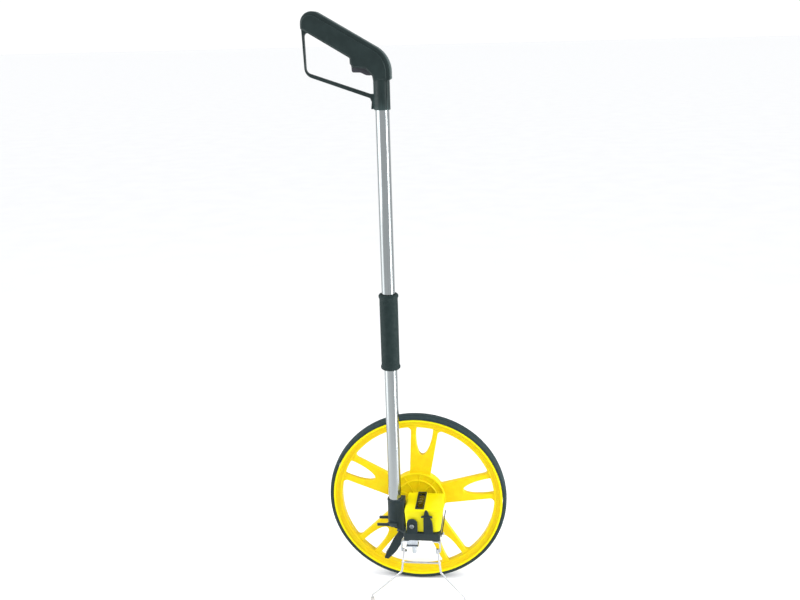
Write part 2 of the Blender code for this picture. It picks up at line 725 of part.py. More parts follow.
def make_pole(link_body, upper_body):
    """Two equal tubes end to end on a two-pin link, each with a plug that carries one pin."""
    half = LINK_LENGTH / 2
    for side, towards, body in (("lower", 1, None), ("upper", -1, upper_body)):
        pin_z = FOLD_Z - towards * half
        end = FOLD_Z - towards * GAP
        far = HUB.z - 17.5 if towards > 0 else 903.0
        low, high = sorted((end, far))
        tools = fold_cutters(side, pin_z, towards)
        pipe = tube("pole_tube_" + side, low, high, body)
        cut(pipe, *tools)
        if towards > 0:
            grip = rod(
                "tube_screw_hole",
                (POLE.x, POLE.y + 5.0, HUB.z + 6.0),
                (POLE.x, POLE.y + 20.0, HUB.z + 6.0),
                1.9,
                sides=16,
            )
            cut(pipe, grip)
        low, high = sorted((end, pin_z - towards * 32.0))
        plug = rod(
            "hinge_plug_" + side,
            (POLE.x, POLE.y, low),
            (POLE.x, POLE.y, high),
            TUBE_IN_R - GAP,
            nylon_grey,
            body,
            32,
        )
        cut(plug, *tools)
        rod(
            "hinge_pin_" + side,
            (POLE.x, POLE.y - 10.6, pin_z),
            (POLE.x, POLE.y + 10.6, pin_z),
            2.0,
            steel,
            body,
            16,
        )
    ends = [POLE.x, FOLD_Z - half], [POLE.x, FOLD_Z + half]
    far_x, far_z = ends[1]
    bar = [(far_x + 5.0 * math.cos(a), far_z + 5.0 * math.sin(a)) for a in angles_between(0, math.pi, 9)]
    bar = [(POLE.x + 5.0, ends[1][1])] + bar + [(POLE.x - 5.0, ends[1][1])]
    bar += [(2 * POLE.x - x, 2 * FOLD_Z - z) for x, z in bar]
    holes = [circle(end, 2.3, 16) for end in ends]
    slab("fold_link", [bar] + holes, "XZ", POLE.y - 2.0, POLE.y + 2.0, steel, link_body)


def make_sleeve(body):
    """The soft sleeve that locks the fold: a tube with a bead at each end."""
    low, high = SLEEVE_LOW, SLEEVE_HIGH
    inner = TUBE_R + GAP
    bead = [(13.6, high), (15.6, high - 0.8), (LIP_R, high - 2.8), (LIP_R, high - 4.6), (15.8, high - 6.6)]
    bead.append((SLEEVE_R, high - 9.0))
    outside = bead + [(r, low + high - z) for r, z in reversed(bead)]
    wall = outside + [(inner, low), (inner, high)]
    turned("locking_sleeve", wall, POLE, "Z", sleeve_rubber, body, 28)


# Corners of the grip and of the strip that guards the fingers, each with its rounding
GRIP_OUTLINE = [
    (-156.6, 981.0, 8.0),
    (-150.0, 997.8, 8.0),
    (-133.0, 996.8, 10.0),
    (-55.0, 953.6, 60.0),
    (-17.3, 930.0, 26.0),
    (-17.3, 898.0, 2.5),
    (-20.6, 894.4, 2.5),
    (-47.8, 894.4, 2.5),
    (-49.2, 900.5, 2.5),
    (-57.2, 912.2, 2.5),
    (-76.5, 914.0, 2.5),
    (-80.9, 920.2, 2.5),
    (-81.1, 928.7, 2.5),
    (-150.4, 970.4, 3.0),
]
GUARD_OUTLINE = [
    (-154.9, 976.3, 0.0),
    (-152.9, 903.2, 11.0),
    (-53.8, 866.0, 1.0),
    (-52.7, 861.0, 1.0),
    (-46.8, 850.2, 0.5),
    (-42.0, 850.2, 0.0),
    (-42.0, 871.2, 0.0),
    (-51.5, 871.2, 0.0),
    (-150.8, 907.6, 7.0),
    (-151.3, 976.3, 0.0),
]
CORE_OUTLINE = [
    (-146.0, 976.0, 3.0),
    (-141.0, 990.0, 3.0),
    (-60.0, 948.0, 3.0),
    (-50.0, 940.0, 3.0),
    (-50.0, 915.0, 3.0),
    (-63.0, 922.5, 3.0),
]
GRIP_SCREWS = [(-151.0, 986.0), (-44.0, 934.0), (-29.0, 913.0)]


def rounded_outline(corners, segments):
    return rounded([corner[:2] for corner in corners], [corner[2] for corner in corners], segments)


def make_handle(body):
    """The pistol grip in two halves round the tube's end, each with half of the strip that guards the fingers."""
    grip = rounded_outline(GRIP_OUTLINE, 4)
    strip = rounded_outline(GUARD_OUTLINE, 4)
    core = rounded_outline(CORE_OUTLINE, 2)
    slot_shape = [(-91.0, 945.0), (-91.0, 918.0), (-49.6, 896.0)]
    slot_shape += [(-44.6, 904.2), (-44.6, 926.0), (-60.0, 950.0)]
    for side, sign in (("left", -1), ("right", 1)):
        near, far = POLE.y + sign * 0.15, POLE.y + sign * HANDLE_HALF
        shell = slab("handle_" + side, [grip], "XZ", *sorted((near, far)), black_plastic, body, 1.2)
        guard_far = POLE.y + sign * GUARD_HALF
        guard = slab("guard_" + side, [strip], "XZ", *sorted((POLE.y + sign * 0.25, guard_far)))
        pocket = slab("core_" + side, [core], "XZ", *sorted((POLE.y - sign * 2.0, far - sign * 3.0)))
        bore_r = TUBE_R + GAP
        bore = rod("grip_bore_" + side, (POLE.x, POLE.y, 840.0), (POLE.x, POLE.y, 903.6), bore_r, sides=40)
        ring = [(COLLAR_R, 898.0), (COLLAR_R, 849.5), (bore_r + 0.1, 849.5), (bore_r + 0.1, 898.0)]
        collar = turned("collar_" + side, ring, POLE, "Z", None, None, 32)
        other_low, other_high = sorted((POLE.y + sign * 0.2, POLE.y - sign * 20.0))
        other = block("collar_other_" + side, (-60.0, other_low, 840.0), (-10.0, other_high, 905.0))
        cut(collar, other)
        slot = slab(
            "trigger_slot_" + side,
            [slot_shape],
            "XZ",
            POLE.y - TRIGGER_HALF - 0.5,
            POLE.y + TRIGGER_HALF + 0.5,
        )
        pin = rod(
            "trigger_pin_hole_" + side,
            TRIGGER_PIVOT - Vector((0, 10.5, 0)),
            TRIGGER_PIVOT + Vector((0, 10.5, 0)),
            1.9,
            sides=16,
        )
        holes = [
            rod("grip_hole_%s_%d" % (side, k), (x, POLE.y - 10.5, z), (x, POLE.y + 20.0, z), 1.9, sides=16)
            for k, (x, z) in enumerate(GRIP_SCREWS)
        ]
        join(shell, guard)
        cut(shell, pocket, bore, slot, pin, *holes)
        join(shell, collar)
    for k, (x, z) in enumerate(GRIP_SCREWS):
        head = [(0.0, 16.6), (3.0, 16.6), (3.4, 14.8), (1.6, 14.8), (1.6, -10.0), (0.0, -10.0)]
        turned("handle_screw_%d" % (k + 1), head, (x, POLE.y, z), "Y", steel, body, 16)
    rod(
        "trigger_pin",
        TRIGGER_PIVOT - Vector((0, 10.0, 0)),
        TRIGGER_PIVOT + Vector((0, 10.0, 0)),
        1.6,
        steel,
        body,
        16,
    )


def make_trigger(body, upper_body):
    """The brake trigger under the grip, and the spring that pushes it down."""
    outline = [(-80.2, 924.6), (-79.0, 907.2), (-66.0, 905.6), (-57.0, 901.6)]
    outline += [(-48.6, 901.6), (-47.2, 912.0), (-56.0, 921.0), (-74.0, 930.0)]
    outline = rounded(outline, [2.0, 4.0, 6.0, 5.0, 3.0, 5.0, 3.0, 3.0], 3)
    hole = circle((TRIGGER_PIVOT.x, TRIGGER_PIVOT.z), 1.9, 16)
    low, high = POLE.y - TRIGGER_HALF, POLE.y + TRIGGER_HALF
    slab("brake_trigger", [outline, hole], "XZ", low, high, trigger_grey, body)

    turns = 4
    low_z, high_z = 931.6, 944.0
    coil = []
    for i in range(turns * 8 + 1):
        angle = math.tau * i / 8
        height = low_z + (high_z - low_z) * i / (turns * 8)
        coil.append((-74.0 + 2.6 * math.cos(angle), POLE.y + 2.6 * math.sin(angle), height))
    wire("trigger_spring", coil, 0.45, steel, upper_body, 0)


def blade_point(along, across, y):
    """A point on the brake arm: along its length from the pivot, across it, and out from its middle plane."""
    return BRAKE_PIVOT + BRAKE_DOWN * along + BRAKE_ACROSS * across + Vector((0.0, y, 0.0))


def make_brake(body):
    """The brake arm with its pad, on a pin in a small clevis under the base."""
    outline = [(-3.0, -5.8), (-3.0, 5.8), (24.5, 7.5), (44.5, 5.5)]
    outline += [(BRAKE_LENGTH, 4.0), (BRAKE_LENGTH - 3.0, -3.0)]
    outline += [(22.5, -8.0), (14.5, -6.0)]
    flat = [BRAKE_PIVOT + BRAKE_DOWN * a - BRAKE_ACROSS * c for a, c in outline]
    flat = rounded([(p.x, p.z) for p in flat], [3.0, 3.0, 8.0, 8.0, 2.0, 1.5, 3.0, 3.0], 3)
    arm = slab("brake_arm", [flat], "XZ", BRAKE_PIVOT.y - 2.5, BRAKE_PIVOT.y + 2.5, black_plastic, body)
    barrel = rod("brake_barrel", blade_point(0, -6.2, 0), blade_point(0, 6.2, 0), 4.2, sides=18)
    hole = rod("brake_arm_hole", blade_point(0, -12, 0), blade_point(0, 12, 0), 1.8, sides=16)
    join(arm, barrel)
    cut(arm, hole)
    pad = block("brake_pad", (-5.0, 2.8, -8.0), (5.0, 11.5, 8.0), rubber_black, body, 1.2)
    pad.location = blade_point(BRAKE_LENGTH - 14.0, 0, 0) * MM
    pad.rotation_euler = (0.0, math.atan2(BRAKE_DOWN.x, BRAKE_DOWN.z), 0.0)

    clevis = block("brake_clevis", (-10.6, -5.0, -5.0), (10.6, 5.0, 9.0), black_plastic, None, 1.0)
    clevis.location = BRAKE_PIVOT * MM
    clevis.rotation_euler = (0.0, math.atan2(BRAKE_DOWN.x, BRAKE_DOWN.z) + math.pi, 0.0)
    throat = block("clevis_throat", (-6.7, -12.0, -9.0), (6.7, 12.0, 5.4))
    throat.location = BRAKE_PIVOT * MM
    throat.rotation_euler = clevis.rotation_euler
    bore = rod("clevis_bore", blade_point(0, -14, 0), blade_point(0, 14, 0), 1.8, sides=16)
    foot = block("clevis_foot", hub_point(-15.5, -38.8, -48.0), hub_point(-4.5, -29.2, -30.0))
    trim = block("clevis_trim", hub_point(-70.0, -60.0, BASE_BOTTOM - GAP), hub_point(20.0, -10.0, 0.0))
    join(clevis, foot)
    cut(clevis, throat, bore, trim)
    rod("brake_pin", blade_point(0, -10.4, 0), blade_point(0, 10.4, 0), 1.5, steel, None, 16)


def stand_depth(z):
    """How far forward the leaning stand is at a height."""
    return STAND_Y + (STAND_FOOT_Y - STAND_Y) * (STAND_TOP - z) / (STAND_TOP - STAND_TOE)


def stand_side_x(side, z):
    """Where a leg is at a height above its knee."""
    top, knee = (STAND_LEFT_X if side < 0 else STAND_RIGHT_X)[:2]
    return top + (knee - top) * (STAND_TOP - z) / (STAND_TOP - STAND_KNEE)


def stand_leg(side):
    top, knee, toe = STAND_LEFT_X if side < 0 else STAND_RIGHT_X
    points = [
        (top + side * 6.0, STAND_Y, STAND_TOP),
        (top, STAND_Y, STAND_TOP),
        (knee, stand_depth(STAND_KNEE), STAND_KNEE),
        (toe, STAND_FOOT_Y, STAND_TOE),
        (toe, STAND_FOOT_Y, 2.2),
    ]
    return bent(points, 6.0, 4)


def make_stand(body):
    """The wire stand: two legs that splay below a welded crossbar, hinged on their turned-out ends."""
    frame = wire("stand_wire", stand_leg(-1), WIRE_R, steel, body)
    right = wire("stand_leg_right", stand_leg(1), WIRE_R)
    ends = [(stand_side_x(side, STAND_BAR), stand_depth(STAND_BAR), STAND_BAR) for side in (-1, 1)]
    join(frame, rod("stand_crossbar", ends[0], ends[1], 1.5, sides=12), right)
    for name, toe in (("stand_foot_left", STAND_LEFT_X[2]), ("stand_foot_right", STAND_RIGHT_X[2])):
        profile = [(0.0, 1.9), (2.0, 1.9), (2.0, 8.0), (3.0, 8.0), (3.8, 7.0), (3.8, 0.0), (0.0, 0.0)]
        turned(name, profile, (toe, STAND_FOOT_Y, 0.0), "Z", nylon_grey, body, 20)


def strip_outline(path, thickness):
    """The outline of a bent strip of this thickness along a flat path."""
    path = [Vector(point) for point in path]
    sides = ([], [])
    for i, point in enumerate(path):
        run = (path[min(i + 1, len(path) - 1)] - path[max(i - 1, 0)]).normalized()
        across = Vector((-run.y, run.x)) * (thickness / 2)
        sides[0].append(tuple(point + across))
        sides[1].append(tuple(point - across))
    return sides[0] + sides[1][::-1]


def make_stand_clips():
    """The two bent straps that hold the stand's ends, and the plate, spacer and bolt clamped under the base."""
    top = HUB.z + BASE_BOTTOM - GAP
    for name, side in (("stand_clip_left", -1), ("stand_clip_right", 1)):
        x = stand_side_x(side, STAND_TOP) + side * 4.4
        path = [(-13.0, top - 1.0), (-4.0, top - 1.0), (-0.6, top - 3.6)]
        path += [(0.0, STAND_TOP + 8.0), (0.0, STAND_TOP - 2.0)]
        path += [(-1.4, STAND_TOP - 4.6), (-4.2, STAND_TOP - 6.4), (-8.3, STAND_TOP - 7.0)]
        strap = strip_outline([(x + side * along, z) for along, z in path], 2.0)
        clip = slab(name, [strap], "XZ", STAND_Y - 4.2, STAND_Y + 8.5, zinc)
        hole = rod(
            name + "_hole",
            (x - 5.0, STAND_Y, STAND_TOP),
            (x + 5.0, STAND_Y, STAND_TOP),
            WIRE_R + GAP,
            sides=16,
        )
        behind = STAND_Y + WIRE_R + 0.6
        away = block(name + "_front", (x - 15.0, STAND_Y - 10.0, 80.0), (x + 15.0, behind, STAND_TOP - 3.2))
        cut(clip, hole, away)
        if side > 0:
            place = Vector((x - 5.4, STAND_Y + 5.6, 0.0))
            nut = rod("clip_nut", place + Vector((0, 0, 92.6)), place + Vector((0, 0, 101.4)), 2.6, sides=6)
            join(clip, nut)

    plate_low = CLAMP_PLATE_TOP - 2.4
    axis = HUB + CLAMP
    plate = block(
        "clamp_plate",
        (axis.x - 13.6, axis.y - 8.0, plate_low),
        (axis.x + 7.6, axis.y + 9.0, CLAMP_PLATE_TOP),
        zinc,
        None,
        0.6,
    )
    spacer = block(
        "clamp_spacer",
        (axis.x - 12.6, axis.y - 5.0, CLAMP_PLATE_TOP + GAP),
        (axis.x + 6.6, axis.y + 7.0, top),
        zinc,
        None,
        0.6,
    )
    low = Vector((axis.x, axis.y, plate_low - 5.0))
    high = Vector((axis.x, axis.y, top + 5.0))
    hole = rod("plate_hole", low, high, 2.4, sides=16)
    cut(plate, hole)
    cut(spacer, hole)
    nut_low = HUB.z + POCKET_FLOOR + GAP
    head_top = plate_low - GAP
    head = [(0.0, nut_low + 5.0), (2.0, nut_low + 5.0), (2.0, head_top), (4.0, head_top)]
    head += [(4.0, 89.2), (3.4, 88.4)]
    head.append((0.0, 88.4))
    turned("clamp_bolt", head, (axis.x, axis.y, 0.0), "Z", zinc, None, 20)
    nut = rod("clamp_nut", (axis.x, axis.y, nut_low), (axis.x, axis.y, nut_low + 3.7), 4.2, zinc, None, 6)
    cut(nut, rod("nut_hole", (axis.x, axis.y, nut_low - 5), (axis.x, axis.y, nut_low + 10), 2.3, sides=16))


def make_reset(body):
    """The thin reset lever beside the counter, leaning like the cover's side, and its pin."""
    outline = [(-5.0, -5.0), (5.0, -5.0), (4.0, 34.0), (7.0, 44.0), (-7.0, 44.0), (-4.0, 34.0)]
    moved = [(RESET_PIVOT.y + y, RESET_PIVOT.z + z) for y, z in outline]
    hole = circle((RESET_PIVOT.y, RESET_PIVOT.z), 1.8, 16)
    shape = rounded(moved, [4.5, 4.5, 8.0, 3.0, 3.0, 8.0], 4)
    x = RESET_PIVOT.x
    lever = slab("reset_lever", [shape, hole], "YZ", x - 0.9, x + 0.9, black_plastic, body)
    slope = LEAN_RIGHT / (BLOCK_TOP - BASE_TOP)
    for vertex in lever.data.vertices:
        vertex.co.x += slope * (vertex.co.z - RESET_PIVOT.z * MM)
    head = [(0.0, 3.6), (2.8, 3.6), (3.2, 1.8), (1.5, 1.8), (1.5, -9.5), (0.0, -9.5)]
    turned("reset_pin", head, RESET_PIVOT, "X", steel, None, 16)


clear_scene()
parts = new_collection("measuring_wheel")
cutters = new_collection("cutters")
yellow_plastic = new_material("yellow_plastic", (0.88, 0.78, 0.006), 0.38)
black_plastic = new_material("black_plastic", (0.035, 0.045, 0.045), 0.5)
trigger_grey = new_material("trigger_grey", (0.05, 0.055, 0.062), 0.5)
sleeve_rubber = new_material("sleeve_rubber", (0.012, 0.018, 0.016), 0.85)
rubber_black = new_material("rubber_black", (0.02, 0.026, 0.024), 0.8)
drum_black = new_material("drum_black", (0.012, 0.012, 0.012), 0.5)
nylon_grey = new_material("nylon_grey", (0.6, 0.6, 0.58), 0.6)
clear_plastic = new_material("clear_plastic", (0.85, 0.9, 0.9), 0.05)
aluminium = new_material("aluminium", (0.62, 0.64, 0.66), 0.3, 1.0)
steel = new_material("steel", (0.5, 0.51, 0.52), 0.32, 1.0)
zinc = new_material("zinc", (0.55, 0.57, 0.6), 0.42, 1.0)
brass = new_material("brass", (0.7, 0.52, 0.2), 0.35, 1.0)

wheel_body = new_body("body_wheel", HUB)
link_body = new_body("body_link", (POLE.x, POLE.y, FOLD_Z - LINK_LENGTH / 2))
upper_body = new_body("body_upper_pole", (POLE.x, POLE.y, FOLD_Z + LINK_LENGTH / 2))
sleeve_body = new_body("body_sleeve", (POLE.x, POLE.y, SLEEVE_LOW))
trigger_body = new_body("body_trigger", TRIGGER_PIVOT)
brake_body = new_body("body_brake", BRAKE_PIVOT)
stand_body = new_body("body_stand", (STAND_LEFT_X[0], STAND_Y, STAND_TOP))
reset_body = new_body("body_reset", RESET_PIVOT)

tooth_pitch, mate_angle = make_wheel(wheel_body)
make_counter(tooth_pitch, mate_angle)
make_base()
make_housing()
make_socket()
make_pole(link_body, upper_body)
make_sleeve(sleeve_body)
make_handle(upper_body)
make_trigger(trigger_body, upper_body)
make_brake(brake_body)
make_stand(stand_body)
make_stand_clips()
make_reset(reset_body)
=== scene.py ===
import math

import bmesh
import bpy
from mathutils import Euler, Matrix, Vector


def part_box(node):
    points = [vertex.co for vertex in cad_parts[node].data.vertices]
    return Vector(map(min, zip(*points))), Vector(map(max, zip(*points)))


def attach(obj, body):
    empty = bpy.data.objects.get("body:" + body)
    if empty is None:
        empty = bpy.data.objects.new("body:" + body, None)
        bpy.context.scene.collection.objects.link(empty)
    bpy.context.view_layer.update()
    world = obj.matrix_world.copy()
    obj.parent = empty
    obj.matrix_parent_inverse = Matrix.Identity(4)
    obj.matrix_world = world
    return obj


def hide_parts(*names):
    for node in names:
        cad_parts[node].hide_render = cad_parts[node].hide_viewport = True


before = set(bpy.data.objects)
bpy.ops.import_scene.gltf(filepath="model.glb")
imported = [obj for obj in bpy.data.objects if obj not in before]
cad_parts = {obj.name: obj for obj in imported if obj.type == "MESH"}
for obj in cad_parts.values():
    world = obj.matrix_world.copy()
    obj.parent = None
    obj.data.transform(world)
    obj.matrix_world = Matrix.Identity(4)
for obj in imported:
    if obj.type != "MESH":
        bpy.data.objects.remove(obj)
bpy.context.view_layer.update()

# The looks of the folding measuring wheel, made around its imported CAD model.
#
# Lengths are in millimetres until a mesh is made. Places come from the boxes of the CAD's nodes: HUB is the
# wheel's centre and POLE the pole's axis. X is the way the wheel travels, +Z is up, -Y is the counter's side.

MM = 0.001


def low(node):
    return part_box(node)[0] / MM


def high(node):
    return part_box(node)[1] / MM


def middle(node):
    return (low(node) + high(node)) / 2


HUB = middle("wheel")
WHEEL_R = high("tyre").x - HUB.x
POLE = middle("pole_tube_lower")


def hub_point(x, y, z):
    return HUB + Vector((x, y, z))


# ---------------------------------------------------------------- shapes


def shaded(mesh, angle=35.0):
    mesh.shade_smooth()
    mesh.set_sharp_from_angle(angle=math.radians(angle))
    return mesh


def cleaned(mesh):
    """The mesh with its doubled points merged and its faces turned outwards."""
    shape = bmesh.new()
    shape.from_mesh(mesh)
    bmesh.ops.remove_doubles(shape, verts=shape.verts, dist=1e-6)
    bmesh.ops.recalc_face_normals(shape, faces=shape.faces)
    shape.to_mesh(mesh)
    shape.free()
    return mesh


def arc_points(first, last, steps):
    return [first + (last - first) * i / steps for i in range(steps + 1)]


def arc_with_ends(first, last, end, steps):
    """Angles from first to last whose two end steps are long enough to round the corners there."""
    sign = math.copysign(1.0, last - first)
    return [first] + arc_points(first + sign * end, last - sign * end, steps) + [last]


def circle(centre, radius, sides=48):
    angles = [math.tau * i / sides for i in range(sides)]
    return [(centre[0] + radius * math.cos(a), centre[1] + radius * math.sin(a)) for a in angles]


def rounded(corners, segments=6):
    """The outline through (a, b, radius) corners, with an arc at each."""
    count = len(corners)
    outline = []
    for i, (a, b, radius) in enumerate(corners):
        here = Vector((a, b))
        back = (Vector(corners[i - 1][:2]) - here).normalized()
        ahead = (Vector(corners[(i + 1) % count][:2]) - here).normalized()
        half = math.acos(max(-1.0, min(1.0, back.dot(ahead)))) / 2
        if radius <= 0 or half > math.radians(87):
            outline.append(tuple(here))
            continue
        reach = radius / math.tan(half)
        centre = here + (back + ahead).normalized() * (radius / math.sin(half))
        start = here + back * reach - centre
        turn = start.angle_signed(here + ahead * reach - centre)
        for step in range(segments + 1):
            spoke = start.copy()
            spoke.rotate(Matrix.Rotation(-turn * step / segments, 2))
            outline.append(tuple(centre + spoke))
    return outline


def inset(corners, margins):
    """The (a, b, radius) corners with each edge moved inwards by its margin.

    A margin belongs to the edge after its corner. The corners run clockwise, so inside is to the right.
    """
    count = len(corners)
    edges = []
    for i, margin in enumerate(margins):
        start = Vector(corners[i][:2])
        run = (Vector(corners[(i + 1) % count][:2]) - start).normalized()
        edges.append((start + Vector((run.y, -run.x)) * margin, run))
    result = []
    for i in range(count):
        (p, u), (q, v) = edges[i - 1], edges[i]
        cross = u.x * v.y - u.y * v.x
        gap = q - p
        place = p + u * ((gap.x * v.y - gap.y * v.x) / cross) if abs(cross) > 1e-6 else q
        turn_right = cross < 0
        margin = (margins[i - 1] + margins[i]) / 2
        radius = corners[i][2] - margin if turn_right else corners[i][2] + margin
        result.append((place.x, place.y, max(radius, 0.4)))
    return result


TURN = {"Z": (0.0, 0.0, 0.0), "Y": (-math.pi / 2, 0.0, 0.0)}
PLANE = {"XZ": (math.pi / 2, 0.0, 0.0), "XY": (0.0, 0.0, 0.0)}


def turned(profile, centre, axis, steps=96):
    """A closed (radius, height) profile turned about an axis; points on the axis become one point."""
    turn = Euler(TURN[axis]).to_matrix()
    count = len(profile)
    points = []
    for step in range(steps):
        angle = math.tau * step / steps
        for r, h in profile:
            point = turn @ Vector((r * math.cos(angle), r * math.sin(angle), h))
            points.append((point + Vector(centre)) * MM)
    faces = []
    for step in range(steps):
        here, after = step * count, (step + 1) % steps * count
        for i in range(count):
            j = (i + 1) % count
            faces.append((here + i, after + i, after + j, here + j))
    mesh = bpy.data.meshes.new("turned")
    mesh.from_pydata(points, [], faces)
    shape = bmesh.new()
    shape.from_mesh(mesh)
    bmesh.ops.remove_doubles(shape, verts=shape.verts, dist=1e-6)
    on_axis = [f for f in shape.faces if f.calc_area() < 1e-12]
    bmesh.ops.delete(shape, geom=on_axis, context="FACES")
    bmesh.ops.recalc_face_normals(shape, faces=shape.faces)
    shape.to_mesh(mesh)
    shape.free()
    return mesh


def curve_mesh(curve, place=None, turn=None):
    guide = bpy.data.objects.new("guide", curve)
    if place is not None:
        guide.location = Vector(place) * MM
    if turn is not None:
        guide.rotation_euler = turn
    bpy.context.scene.collection.objects.link(guide)
    bpy.context.view_layer.update()
    graph = bpy.context.evaluated_depsgraph_get()
    mesh = bpy.data.meshes.new_from_object(guide.evaluated_get(graph))
    mesh.transform(guide.matrix_world)
    bpy.data.objects.remove(guide)
    bpy.data.curves.remove(curve)
    return cleaned(mesh)


def slab(outlines, plane, bottom, top, bevel=0.0, resolution=2):
    """Flat outlines made thick from bottom to top across the plane; the first has the others as holes."""
    curve = bpy.data.curves.new("slab", "CURVE")
    curve.dimensions = "2D"
    curve.fill_mode = "BOTH"
    curve.extrude = ((top - bottom) / 2 - bevel) * MM
    curve.bevel_depth = bevel * MM
    curve.bevel_resolution = resolution if bevel else 0
    curve.offset = -bevel * MM
    for outline in outlines:
        spline = curve.splines.new("POLY")
        spline.points.add(len(outline) - 1)
        for point, (a, b) in zip(spline.points, outline):
            point.co = (a * MM, b * MM, 0.0, 1.0)
        spline.use_cyclic_u = True
    across = {"XZ": (0, 1, 0), "XY": (0, 0, 1)}[plane]
    return curve_mesh(curve, Vector(across) * (top + bottom) / 2, PLANE[plane])


def pipe(points, radius, sides=20):
    """A round wire along the points."""
    points = [Vector(point) for point in points]
    side = Vector((0.0, 1.0, 0.0))
    rings = []
    for i, place in enumerate(points):
        ahead = (points[min(i + 1, len(points) - 1)] - points[max(i - 1, 0)]).normalized()
        if abs(side.dot(ahead)) > 0.99:
            side = ahead.orthogonal()
        side = (side - ahead * side.dot(ahead)).normalized()
        other = ahead.cross(side)
        angles = [math.tau * k / sides for k in range(sides)]
        rings.append([place + (side * math.cos(a) + other * math.sin(a)) * radius for a in angles])
    return loft(rings)


def block(bottom, top, rounding=0.0, segments=3):
    bottom, top = Vector(bottom) * MM, Vector(top) * MM
    shape = bmesh.new()
    bmesh.ops.create_cube(shape, size=1.0)
    bmesh.ops.scale(shape, vec=top - bottom, verts=shape.verts)
    bmesh.ops.translate(shape, vec=(bottom + top) / 2, verts=shape.verts)
    if rounding:
        edges = list(shape.edges)
        bmesh.ops.bevel(
            shape, geom=edges, offset=rounding * MM, segments=segments, profile=0.5, affect="EDGES"
        )
    mesh = bpy.data.meshes.new("block")
    shape.to_mesh(mesh)
    shape.free()
    return mesh


def rod(start, end, radius, sides=48, rounding=0.0):
    """A round bar from one point to another, its two ends chamfered where a rounding is given."""
    start, end = Vector(start), Vector(end)
    length = (end - start).length
    edge = [(radius, length - rounding), (radius, rounding)]
    if rounding:
        edge = [(radius - rounding, length)] + edge + [(radius - rounding, 0.0)]
    mesh = turned([(0.0, length)] + edge + [(0.0, 0.0)], (0, 0, 0), "Z", sides)
    turn = (end - start).to_track_quat("Z", "Y").to_matrix().to_4x4()
    mesh.transform(Matrix.Translation(start * MM) @ turn)
    return mesh


def loft(rings):
    """A closed shape through rings of points, with a flat cap on the first and the last."""
    count = len(rings[0])
    points = [Vector(point) * MM for ring in rings for point in ring]
    faces = [tuple(range(count))[::-1], tuple(range((len(rings) - 1) * count, len(rings) * count))]
    for k in range(len(rings) - 1):
        for i in range(count):
            j = (i + 1) % count
            faces.append((k * count + i, k * count + j, (k + 1) * count + j, (k + 1) * count + i))
    mesh = bpy.data.meshes.new("loft")
    mesh.from_pydata(points, [], faces)
    return cleaned(mesh)


def bent(points, radius, segments=8):
    """A path through the points, with an arc of this radius at each corner between them."""
    path = [Vector(points[0])]
    for before, corner, after in zip(points, points[1:], points[2:]):
        corner = Vector(corner)
        back = (Vector(before) - corner).normalized()
        ahead = (Vector(after) - corner).normalized()
        half = back.angle(ahead) / 2
        reach = min(radius / math.tan(half), 0.45 * (Vector(before) - corner).length)
        for step in range(segments + 1):
            t = step / segments
            start = corner + back * reach
            end = corner + ahead * reach
            path.append(start.lerp(corner, t).lerp(corner.lerp(end, t), t))
    path.append(Vector(points[-1]))
    return path


def merged(adds, cuts=()):
    """One mesh: the first shape with the others joined to it, and the cutters then taken away."""
    tools = []
    for mesh in list(adds) + list(cuts):
        tool = bpy.data.objects.new("tool", mesh)
        bpy.context.scene.collection.objects.link(tool)
        tools.append(tool)
    whole = tools[0]
    for i, tool in enumerate(tools[1:], 1):
        boolean = whole.modifiers.new("boolean", "BOOLEAN")
        boolean.operation = "UNION" if i < len(adds) else "DIFFERENCE"
        boolean.solver = "EXACT"
        boolean.object = tool
    bpy.context.view_layer.update()
    graph = bpy.context.evaluated_depsgraph_get()
    mesh = bpy.data.meshes.new_from_object(whole.evaluated_get(graph))
    for tool in tools:
        bpy.data.objects.remove(tool)
    return mesh


def moved(mesh, matrix):
    mesh.transform(matrix)
    return mesh


def show(name, mesh, material, slot, body, *nodes, angle=35.0):
    """A finished piece on its body, standing for its CAD nodes."""
    mesh.name = name
    mesh.materials.clear()
    mesh.materials.append(material)
    piece = bpy.data.objects.new(name, shaded(mesh, angle))
    bpy.context.scene.collection.objects.link(piece)
    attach(piece, body)
    if nodes:
        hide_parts(*nodes)
    return piece


# ---------------------------------------------------------------- materials


